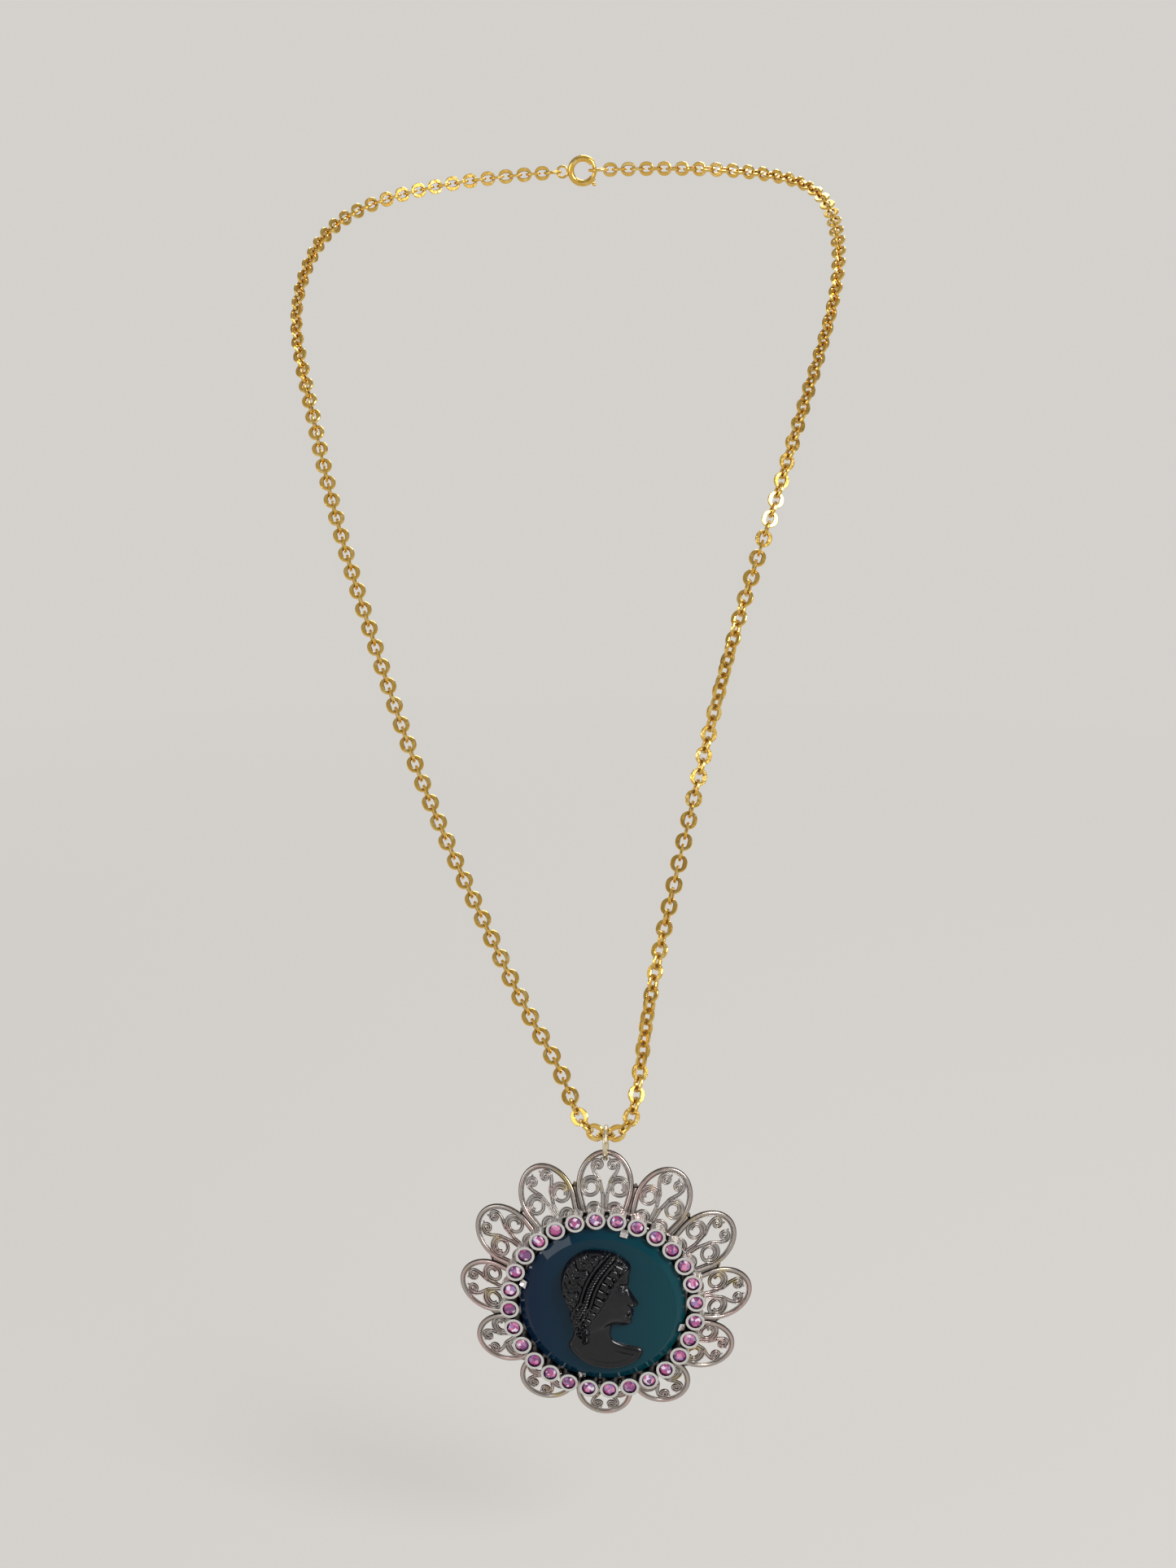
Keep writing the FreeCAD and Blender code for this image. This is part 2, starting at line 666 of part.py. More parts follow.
def arc_solid(face, start, sweep):
    """A solid swept about Z through the origin from a face in the XZ plane, angles in degrees."""
    solid = face.revolve(Vector(0, 0, 0), Z, sweep)
    solid.rotate(Vector(0, 0, 0), Z, start)
    return solid


def round_face(radius):
    circle = Part.makeCircle(radius, Vector(CLASP_RADIUS, 0, 0), Y)
    return Part.Face(Part.Wire([circle]))


def clasp_case():
    """The hollow ring, open at its mouth on +X, slotted for the knob, with its eye on -X."""
    span = 360 - 2 * CLASP_MOUTH
    tube = arc_solid(round_face(CLASP_TUBE_RADIUS), CLASP_MOUTH, span)
    eye_at = clasp_reach()[0] - EYE_INNER_RADIUS + RING_GAP
    eye = Part.makeTorus(EYE_INNER_RADIUS + EYE_WIRE / 2, EYE_WIRE / 2, Vector(-eye_at, 0, 0), Z)
    bore = arc_solid(round_face(CLASP_BORE_RADIUS), CLASP_MOUTH, span)
    half = KNOB_STEM_RADIUS + SLOT_CLEARANCE
    slot_face = polygon_face([
        Vector(CLASP_RADIUS, 0, -half), Vector(CLASP_RADIUS + 2 * CLASP_TUBE_RADIUS, 0, -half),
        Vector(CLASP_RADIUS + 2 * CLASP_TUBE_RADIUS, 0, half), Vector(CLASP_RADIUS, 0, half),
    ])
    margin = math.degrees(half / (CLASP_RADIUS + CLASP_TUBE_RADIUS)) + 1.5
    slot = arc_solid(slot_face, KNOB_ANGLE - margin, BOLT_TRAVEL + 2 * margin)
    return tube.fuse(eye).cut(bore).cut(slot)


def clasp_bolt():
    """The curved tongue that closes the mouth, with its thumb knob."""
    start = -CLASP_MOUTH - BOLT_OVERLAP
    tongue = arc_solid(round_face(CLASP_BORE_RADIUS - BOLT_CLEARANCE), start, BOLT_TAIL - start)
    stem = Part.makeCylinder(KNOB_STEM_RADIUS, KNOB_STEM_LENGTH, Vector(CLASP_RADIUS, 0, 0), X)
    head = Part.makeSphere(KNOB_HEAD_RADIUS, Vector(CLASP_RADIUS + KNOB_STEM_LENGTH, 0, 0))
    knob = stem.fuse(head)
    knob.rotate(Vector(0, 0, 0), Z, KNOB_ANGLE)
    return tongue.fuse(knob)


def clasp_spring():
    """The coil inside the case that pushes the bolt shut."""
    coil = CLASP_BORE_RADIUS - SPRING_WIRE_RADIUS - BOLT_CLEARANCE
    steps = SPRING_TURNS * 12
    start = BOLT_TAIL + 1.5
    points = []
    for i in range(steps + 1):
        a = math.radians(start + (SPRING_END_ANGLE - start) * i / steps)
        b = 2 * math.pi * SPRING_TURNS * i / steps
        r = CLASP_RADIUS + coil * math.cos(b)
        points.append(Vector(r * math.cos(a), r * math.sin(a), coil * math.sin(b)))
    curve = Part.BSplineCurve()
    curve.interpolate(points)
    path = Part.Wire([curve.toShape()])
    heading = curve.tangent(curve.FirstParameter)[0]
    profile = Part.Wire([Part.makeCircle(SPRING_WIRE_RADIUS, points[0], heading)])
    return path.makePipeShell([profile], True, True)


def clasp_nodes(right, left):
    """The clasp's pieces and the rings on both sides, and the point and axes that they turn about."""
    ring_centre, ring_along, ring_facing = left[-2]
    clasp_start, clasp_along = left[-1][0] - left[-1][1] * (sum(clasp_reach()) / 2), left[-1][1]
    centre = clasp_start + clasp_along * clasp_reach()[0]
    flat = (Y - clasp_along * Y.dot(clasp_along)).normalize()
    end_centre, end_along, end_facing = right[-1]
    left_ring = wire_ring(LEFT_RING_INNER_RADIUS, END_RING_WIRE, HANG_SPLIT)
    right_ring = wire_ring(RIGHT_RING_INNER_RADIUS, END_RING_WIRE)
    nodes = {
        "clasp_case": placed(clasp_case(), centre, clasp_along, flat),
        "clasp_bolt": placed(clasp_bolt(), centre, clasp_along, flat),
        "clasp_spring": placed(clasp_spring(), centre, clasp_along, flat),
        "left_end_ring": placed(left_ring, ring_centre, ring_along, flat.cross(ring_along)),
        "right_end_ring": placed(right_ring, end_centre, end_along, flat.cross(end_along)),
    }
    return nodes, centre, clasp_along, flat


# ---------------------------------------------------------------- assembly

def main():
    os.makedirs("parts", exist_ok=True)
    right_joints, left_joints = closed_route()
    shared = sum(CHEST_LINKS) + SHOULDER_LINKS
    right = frames(right_joints, 1, RIGHT_ROLL, shared + NAPE_LINKS_RIGHT)
    left = frames(left_joints, -1, LEFT_ROLL, shared + NAPE_LINKS_LEFT)
    nodes = pendant_nodes()
    links, lines = chain_nodes(right, left, right_joints, left_joints)
    nodes.update(links)
    clasp, centre, along, flat = clasp_nodes(right, left)
    nodes.update(clasp)
    for name, shape in nodes.items():
        export(name, shape)
    for name, (a, b) in lines.items():
        print(f"line {name}: left {tuple(a)} right {tuple(b)}")
    print(f"clasp centre {tuple(centre)} along {tuple(along)} normal {tuple(flat)}")
    print(f"clasp gap at mouth {(right_joints[-1] - left_joints[-1]).Length:.4f}")
    top = STONE_CENTRE + hang_ring_centre() + Z * (HANG_INNER_RADIUS + HANG_WIRE / 2)
    print(f"ring sways about {tuple(top)}; pendant swings about {tuple(STONE_CENTRE + hook_point())}")
    links_in_all = 1 + 2 * shared + NAPE_LINKS_LEFT + NAPE_LINKS_RIGHT
    length = sum(sum(chords) for chords in side_chords()) + LINK_PITCH
    print(f"{links_in_all} links, {length:.1f} mm round with the clasp closed")


main()
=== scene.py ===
"""A pendant necklace as worn: gold flat cable chain, jump ring and a filigree flower with a cameo.

The frame brings the chain, rings, clasp, cups, plate and glass. This script makes the petals, the cut
stones and the carved head, and gives every piece its finish. Lengths are in metres, and MM is one
millimetre.
"""

import logging
import math
from dataclasses import dataclass, field
from enum import Enum
from typing import Callable, Iterable, Optional, Sequence

import bpy
import numpy as np
from mathutils import Matrix, Vector

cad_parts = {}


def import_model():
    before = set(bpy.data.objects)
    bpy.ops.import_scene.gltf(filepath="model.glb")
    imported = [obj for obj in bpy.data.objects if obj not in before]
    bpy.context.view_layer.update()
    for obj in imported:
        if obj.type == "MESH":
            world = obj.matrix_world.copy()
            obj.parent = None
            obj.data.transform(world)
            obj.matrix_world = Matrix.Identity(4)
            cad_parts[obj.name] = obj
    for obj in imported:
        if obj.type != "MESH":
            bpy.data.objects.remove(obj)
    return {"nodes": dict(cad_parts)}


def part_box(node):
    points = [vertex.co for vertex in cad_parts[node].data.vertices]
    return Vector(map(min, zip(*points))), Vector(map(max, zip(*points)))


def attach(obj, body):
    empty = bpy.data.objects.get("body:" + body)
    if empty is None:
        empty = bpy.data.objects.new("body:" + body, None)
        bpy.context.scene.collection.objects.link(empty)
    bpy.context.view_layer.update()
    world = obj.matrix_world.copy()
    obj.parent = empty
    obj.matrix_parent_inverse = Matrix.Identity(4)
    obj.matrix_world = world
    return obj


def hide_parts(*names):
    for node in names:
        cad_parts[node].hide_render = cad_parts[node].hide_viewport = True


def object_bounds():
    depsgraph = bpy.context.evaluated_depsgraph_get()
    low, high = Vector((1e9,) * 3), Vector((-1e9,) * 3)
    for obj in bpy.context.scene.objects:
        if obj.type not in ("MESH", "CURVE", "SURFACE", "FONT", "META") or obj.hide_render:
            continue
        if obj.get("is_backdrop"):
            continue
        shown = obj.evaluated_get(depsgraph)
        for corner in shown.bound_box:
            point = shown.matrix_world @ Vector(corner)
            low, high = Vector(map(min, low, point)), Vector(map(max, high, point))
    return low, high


MM = 0.001
LOG = logging.getLogger("necklace")
Point = Sequence[float]


class Slot(Enum):
    """The material slots of the record."""

    GOLD = "gold_plate"
    ANTIQUE = "antique_silver"
    BRIGHT = "bright_silver"
    RING = "ring_brass"
    GLASS = "teal_glass"
    CAMEO = "black_glass"
    STONE = "pink_glass"
    SPRING = "spring_steel"


# ---------------------------------------------------------------- finishes


@dataclass(frozen=True)
class Patch:
    """A colour that a noise mixes in, at its own grain.

    Args:
        colour: The colour of the patches.
        grain: Patches per metre.
        low: Noise value where the patch begins.
        high: Noise value where it is full.
    """

    colour: tuple
    grain: float
    low: float
    high: float


@dataclass(frozen=True)
class Finish:
    """A surface made from nodes: colour patches, worn roughness, fine bump, painted shade in recesses and
    painted shade on side faces.

    Args:
        name: Name of the material.
        colour: Main colour.
        metallic: 1 for metal.
        roughness: Lowest and highest roughness.
        rough_grain: Grain of the change in roughness, per metre.
        patches: Colours mixed over the main one.
        bump: Strength of the fine bump.
        bump_grain: Grain of the bump, per metre.
        painted_recess_shade: Colour of the painted shade that an occlusion test lays into hollows, if any.
        recess_shade_reach: How far the occlusion test for the painted shade reaches, in metres.
        recess_shade_from: Openness at which the painted shade begins.
        painted_side_shade: Painted shade on faces that turn away from the pendant's front and back, if any.
        coat: Weight of a clear coat.
        specular: Specular level, for a surface that isn't metal.
    """

    name: str
    colour: tuple
    metallic: float = 1.0
    roughness: tuple = (0.2, 0.35)
    rough_grain: float = 900.0
    patches: tuple = ()
    bump: float = 0.1
    bump_grain: float = 5000.0
    # Painted shade in hollows: its colour, the reach of its occlusion test and where it begins.
    painted_recess_shade: Optional[tuple] = None
    recess_shade_reach: float = 0.8 * MM
    recess_shade_from: float = 0.80
    # Painted shade on faces turned from the front and back.
    painted_side_shade: Optional[tuple] = None
    coat: float = 0.0
    specular: float = 0.5

    def make(self) -> bpy.types.Material:
        """Builds the material.

        Returns:
            The new material.
        """
        material = bpy.data.materials.new(self.name)
        material.use_nodes = True
        tree = material.node_tree
        shader = tree.nodes["Principled BSDF"]
        shader.inputs["Base Color"].default_value = (*self.colour, 1)
        shader.inputs["Metallic"].default_value = self.metallic
        shader.inputs["Coat Weight"].default_value = self.coat
        shader.inputs["Coat Roughness"].default_value = 0.04
        shader.inputs["Specular IOR Level"].default_value = self.specular
        place = tree.nodes.new("ShaderNodeTexCoord").outputs["Object"]
        self._wear(tree, shader, place)
        self._colours(tree, shader, place)
        return material

    @staticmethod
    def _noise(tree: bpy.types.NodeTree, place: bpy.types.NodeSocket,
               grain: float) -> bpy.types.NodeSocket:
        """A noise on object coordinates, with a given grain per metre.

        Args:
            tree: The material's nodes.
            place: The coordinates to read.
            grain: Scale of the noise.

        Returns:
            The noise value.
        """
        noise = tree.nodes.new("ShaderNodeTexNoise")
        noise.inputs["Scale"].default_value = grain
        noise.inputs["Detail"].default_value = 4
        tree.links.new(place, noise.inputs["Vector"])
        return noise.outputs["Fac"]

    def _wear(self, tree: bpy.types.NodeTree, shader: bpy.types.Node, place: bpy.types.NodeSocket) -> None:
        """Links varied roughness and fine bump to the shader.

        Args:
            tree: The material's nodes.
            shader: Its main shader.
            place: The coordinates that patterns read.
        """
        span = tree.nodes.new("ShaderNodeMapRange")
        span.inputs["From Min"].default_value = 0.3
        span.inputs["From Max"].default_value = 0.7
        span.inputs["To Min"].default_value = self.roughness[0]
        span.inputs["To Max"].default_value = self.roughness[1]
        tree.links.new(self._noise(tree, place, self.rough_grain), span.inputs["Value"])
        tree.links.new(span.outputs["Result"], shader.inputs["Roughness"])
        bump = tree.nodes.new("ShaderNodeBump")
        bump.inputs["Strength"].default_value = self.bump
        bump.inputs["Distance"].default_value = 0.05 * MM
        tree.links.new(self._noise(tree, place, self.bump_grain), bump.inputs["Height"])
        tree.links.new(bump.outputs["Normal"], shader.inputs["Normal"])

    def _colours(self, tree: bpy.types.NodeTree, shader: bpy.types.Node, place: bpy.types.NodeSocket) -> None:
        """Links the colour patches, the painted side shade and the painted shade in hollows to the shader.

        Args:
            tree: The material's nodes.
            shader: Its main shader.
            place: The coordinates that patterns read.
        """
        colour = None
        for patch in self.patches:
            ramp = tree.nodes.new("ShaderNodeMapRange")
            ramp.inputs["From Min"].default_value = patch.low
            ramp.inputs["From Max"].default_value = patch.high
            tree.links.new(self._noise(tree, place, patch.grain), ramp.inputs["Value"])
            colour = self._mix(tree, ramp.outputs["Result"], colour, patch.colour)
        # Painted shade on faces that turn from the front and back.
        if self.painted_side_shade:
            colour = self._mix(tree, self._sideways(tree), colour, self.painted_side_shade)
        # Painted shade: an occlusion test darkens hollows towards this colour.
        if self.painted_recess_shade:
            shade = tree.nodes.new("ShaderNodeAmbientOcclusion")
            shade.samples = 8
            shade.inputs["Distance"].default_value = self.recess_shade_reach
            ramp = tree.nodes.new("ShaderNodeMapRange")
            ramp.inputs["From Min"].default_value = self.recess_shade_from
            ramp.inputs["From Max"].default_value = 0.25
            tree.links.new(shade.outputs["AO"], ramp.inputs["Value"])
            colour = self._mix(tree, ramp.outputs["Result"], colour, self.painted_recess_shade)
        if colour is not None:
            tree.links.new(colour, shader.inputs["Base Color"])

    @staticmethod
    def _sideways(tree: bpy.types.NodeTree) -> bpy.types.NodeSocket:
        """How far a face turns from the piece's own front and back, 0 to 1, which masks the painted side
        shade.

        Args:
            tree: The material's nodes.

        Returns:
            The factor.
        """
        split = tree.nodes.new("ShaderNodeSeparateXYZ")
        tree.links.new(tree.nodes.new("ShaderNodeTexCoord").outputs["Normal"], split.inputs["Vector"])
        size = tree.nodes.new("ShaderNodeMath")
        size.operation = "ABSOLUTE"
        tree.links.new(split.outputs["Y"], size.inputs[0])
        ramp = tree.nodes.new("ShaderNodeMapRange")
        ramp.inputs["From Min"].default_value = 0.88
        ramp.inputs["From Max"].default_value = 0.40
        tree.links.new(size.outputs["Value"], ramp.inputs["Value"])
        return ramp.outputs["Result"]

    def _mix(self, tree: bpy.types.NodeTree, factor: bpy.types.NodeSocket,
             under: Optional[bpy.types.NodeSocket], over: tuple) -> bpy.types.NodeSocket:
        """Mixes a colour over the ones before it, and returns the result.

        Args:
            tree: The material's nodes.
            factor: How much of the new colour shows.
            under: The colour before it, or none for the main colour.
            over: The new colour.

        Returns:
            The mixed colour.
        """
        mix = tree.nodes.new("ShaderNodeMixRGB")
        mix.inputs["Color1"].default_value = (*self.colour, 1)
        mix.inputs["Color2"].default_value = (*over, 1)
        tree.links.new(factor, mix.inputs["Fac"])
        if under is not None:
            tree.links.new(under, mix.inputs["Color1"])
        return mix.outputs["Color"]


@dataclass(frozen=True)
class GlassFinish:
    """Dark polished teal glass with a painted reflection, its colour running from navy on one side to teal on
    the other.
    """

    name: str = "teal_plate_glass"
    navy: tuple = (0.001, 0.010, 0.036)
    teal: tuple = (0.001, 0.050, 0.064)
    centre: float = 0.015
    reach: float = 0.015

    def make(self) -> bpy.types.Material:
        """Builds the material, with the painted reflection run from navy to teal along the plate's width."""
        material = bpy.data.materials.new(self.name)
        material.use_nodes = True
        tree = material.node_tree
        shader = tree.nodes["Principled BSDF"]
        shader.inputs["Roughness"].default_value = 0.035
        shader.inputs["IOR"].default_value = 1.5
        shader.inputs["Specular IOR Level"].default_value = 0.22
        place = tree.nodes.new("ShaderNodeTexCoord").outputs["Object"]
        split = tree.nodes.new("ShaderNodeSeparateXYZ")
        tree.links.new(place, split.inputs["Vector"])
        # Painted reflection: the colour runs from navy to teal across the plate's width.
        run = tree.nodes.new("ShaderNodeMapRange")
        run.inputs["From Min"].default_value = self.centre - self.reach
        run.inputs["From Max"].default_value = self.centre + self.reach
        tree.links.new(split.outputs["X"], run.inputs["Value"])
        ramp = tree.nodes.new("ShaderNodeValToRGB")
        ramp.color_ramp.elements[0].color = (*self.navy, 1)
        ramp.color_ramp.elements[1].color = (*self.teal, 1)
        tree.links.new(run.outputs["Result"], ramp.inputs["Fac"])
        tree.links.new(ramp.outputs["Color"], shader.inputs["Base Color"])
        return material


@dataclass(frozen=True)
class StoneFinish:
    """Cut pink glass with painted reflections: every facet shows magenta, pink, violet or a painted white
    flash.
    """

    name: str = "pink_cut_glass"
    # The glass's pink with painted reflections: dark plum, magenta, pink, violet and a white flash.
    pink_and_painted_flashes: tuple = (
        (0.00, (0.16, 0.03, 0.16)), (0.28, (0.40, 0.05, 0.22)), (0.50, (0.66, 0.22, 0.42)),
        (0.70, (0.32, 0.17, 0.42)), (0.84, (0.86, 0.70, 0.86)),
    )
    grain: float = 1500.0

    def make(self) -> bpy.types.Material:
        """Builds the material from sharp cells of colour, the painted reflections of the facets over the
        glass's pink.
        """
        material = bpy.data.materials.new(self.name)
        material.use_nodes = True
        tree = material.node_tree
        shader = tree.nodes["Principled BSDF"]
        shader.inputs["Roughness"].default_value = 0.03
        shader.inputs["IOR"].default_value = 1.7
        shader.inputs["Coat Weight"].default_value = 1.0
        shader.inputs["Coat Roughness"].default_value = 0.02
        place = tree.nodes.new("ShaderNodeTexCoord").outputs["Object"]
        cells = tree.nodes.new("ShaderNodeTexVoronoi")
        cells.inputs["Scale"].default_value = self.grain
        tree.links.new(place, cells.inputs["Vector"])
        split = tree.nodes.new("ShaderNodeSeparateXYZ")
        tree.links.new(cells.outputs["Color"], split.inputs["Vector"])
        ramp = tree.nodes.new("ShaderNodeValToRGB")
        ramp.color_ramp.interpolation = "CONSTANT"
        while len(ramp.color_ramp.elements) < len(self.pink_and_painted_flashes):
            ramp.color_ramp.elements.new(0.5)
        for stop, (at, colour) in zip(ramp.color_ramp.elements, self.pink_and_painted_flashes):
            stop.position = at
            stop.color = (*colour, 1)
        tree.links.new(split.outputs["X"], ramp.inputs["Fac"])
        tree.links.new(ramp.outputs["Color"], shader.inputs["Base Color"])
        return material


GOLD = Finish(
    "gold_plate", (0.82, 0.52, 0.11), roughness=(0.12, 0.28), rough_grain=1400.0,
    patches=(Patch((0.92, 0.72, 0.30), 700.0, 0.50, 0.72),), bump=0.12, bump_grain=3500.0,
    # Painted shade in hollows, laid in by an occlusion test.
    painted_recess_shade=(0.30, 0.15, 0.03), recess_shade_reach=0.9 * MM,
)
ANTIQUE = Finish(
    "antique_silver", (0.50, 0.45, 0.42), roughness=(0.20, 0.40), rough_grain=1200.0,
    patches=(Patch((0.62, 0.46, 0.44), 150.0, 0.50, 0.62), Patch((0.60, 0.49, 0.26), 190.0, 0.56, 0.68)),
    # Painted shade in hollows, laid in by an occlusion test.
    bump=0.25, bump_grain=4000.0, painted_recess_shade=(0.020, 0.013, 0.010), recess_shade_reach=1.3 * MM, recess_shade_from=0.92,
    # Painted shade on the sides of the wires.
    painted_side_shade=(0.055, 0.038, 0.026),
)
BRIGHT = Finish(
    "bright_silver", (0.78, 0.77, 0.76), roughness=(0.12, 0.30), rough_grain=1500.0,
    patches=(Patch((0.68, 0.62, 0.60), 500.0, 0.55, 0.72),), bump=0.15, bump_grain=3000.0,
    # Painted shade in hollows, laid in by an occlusion test.
    painted_recess_shade=(0.05, 0.04, 0.04), recess_shade_reach=1.0 * MM,
)
RING = Finish(
    "ring_brass", (0.80, 0.72, 0.52), roughness=(0.20, 0.38), rough_grain=1300.0,
    patches=(Patch((0.62, 0.50, 0.30), 500.0, 0.55, 0.70),), bump=0.15,
    # Painted shade in hollows, laid in by an occlusion test.
    painted_recess_shade=(0.20, 0.13, 0.06), recess_shade_reach=0.9 * MM,
)
SPRING = Finish("spring_steel", (0.62, 0.62, 0.63), roughness=(0.25, 0.40))
CAMEO = Finish(
    "black_satin_glass", (0.003, 0.003, 0.005), metallic=0.0, roughness=(0.16, 0.26), rough_grain=700.0,
    patches=(Patch((0.006, 0.006, 0.009), 500.0, 0.50, 0.70),), bump=0.06, bump_grain=2500.0, specular=0.45,
)


# ---------------------------------------------------------------- modelling helpers


def deselect() -> None:
    """Clears the selection, so that the next operator acts on its own piece only."""
    bpy.ops.object.select_all(action="DESELECT")


def dress(piece: bpy.types.Object, material: bpy.types.Material) -> None:
    """Gives a piece one material in place of all others.

    Args:
        piece: The piece.
        material: The finish it gets.
    """
    piece.data.materials.clear()
    piece.data.materials.append(material)


def wires(name: str, lines: Iterable[Sequence[Vector]], radius: float, sides: int = 1,
          closed: bool = False) -> bpy.types.Object:
    """Round wires along lines, as one mesh.

    Args:
        name: Name of the new object.
        lines: Points of each wire.
        radius: Radius of the wire.
        sides: Bevel resolution of the wire's section.
        closed: Whether each wire closes on itself.

    Returns:
        The mesh object.
    """
    deselect()
    bpy.ops.curve.primitive_nurbs_path_add()
    obj = bpy.context.object
    obj.name = name
    curve = obj.data
    curve.splines.clear()
    curve.dimensions = "3D"
    for line in lines:
        spline = curve.splines.new("NURBS")
        spline.points.add(len(line) - 1)
        for point, place in zip(spline.points, line):
            point.co = (*place, 1)
        spline.order_u = 3
        spline.use_endpoint_u = not closed
        spline.use_cyclic_u = closed
        spline.resolution_u = 2
    curve.bevel_depth = radius
    curve.bevel_resolution = sides
    curve.use_fill_caps = True
    bpy.ops.object.convert(target="MESH")
    obj = bpy.context.object
    bpy.ops.object.shade_smooth()
    return obj


def joined(name: str, pieces: Sequence[bpy.types.Object]) -> bpy.types.Object:
    """Joins meshes into the first one, and names it.

    Args:
        name: Name of the result.
        pieces: The meshes to join.

    Returns:
        The joined mesh.
    """
    deselect()
    for piece in pieces:
        piece.select_set(True)
    bpy.context.view_layer.objects.active = pieces[0]
    bpy.ops.object.join()
    pieces[0].name = name
    return pieces[0]


def copied(piece: bpy.types.Object, name: str, matrix: Matrix) -> bpy.types.Object:
    """A copy with its own mesh, moved by a matrix that is put into its vertices.

    Args:
        piece: The piece to copy.
        name: Name of the copy.
        matrix: Where the copy goes.

    Returns:
        The copy.
    """
    twin = piece.copy()
    twin.data = piece.data.copy()
    twin.name = name
    bpy.context.scene.collection.objects.link(twin)
    twin.data.transform(matrix)
    return twin


def spiral(centre: Point, outer: float, inner: float, start: float, sweep: float, steps: int) -> list:
    """Points of a flat spiral from its outer to its inner radius, angles in degrees.

    Args:
        centre: Middle of the spiral.
        outer: Radius at its start.
        inner: Radius at its end.
        start: Angle at its start.
        sweep: Angle that it turns through.
        steps: Number of steps.

    Returns:
        The points, in order.
    """
    points = []
    for i in range(steps + 1):
        t = i / steps
        angle = math.radians(start + sweep * t)
        radius = outer + (inner - outer) * t
        points.append(Vector((centre[0] + radius * math.cos(angle), centre[1] + radius * math.sin(angle), 0)))
    return points


def evenly(points: Sequence[Vector], step: float) -> list:
    """The same line with points at even steps.

    Args:
        points: The line.
        step: Length of a step, near enough.

    Returns:
        The new points.
    """
    lengths = [0.0]
    for a, b in zip(points, points[1:]):
        lengths.append(lengths[-1] + (b - a).length)
    count = max(2, round(lengths[-1] / step))
    places = np.linspace(0, lengths[-1], count + 1)
    axes = [np.interp(places, lengths, [p[k] for p in points]) for k in range(3)]
    return [Vector(p) for p in zip(*axes)]


def paired(points: Sequence[Vector], spread: float, step: float) -> list:
    """Two strands that run side by side along a flat line, as lists of points.

    Args:
        points: The line between the strands.
        spread: Distance of each strand from it.
        step: Length of a step.

    Returns:
        The two lists of points.
    """
    line = evenly(points, step)
    strands = [[], []]
    for i, point in enumerate(line):
        along = (line[min(i + 1, len(line) - 1)] - line[max(i - 1, 0)]).normalized()
        side = Vector((-along.y, along.x, 0)) * spread
        strands[0].append(point + side)
        strands[1].append(point - side)
    return strands


# ---------------------------------------------------------------- pendant


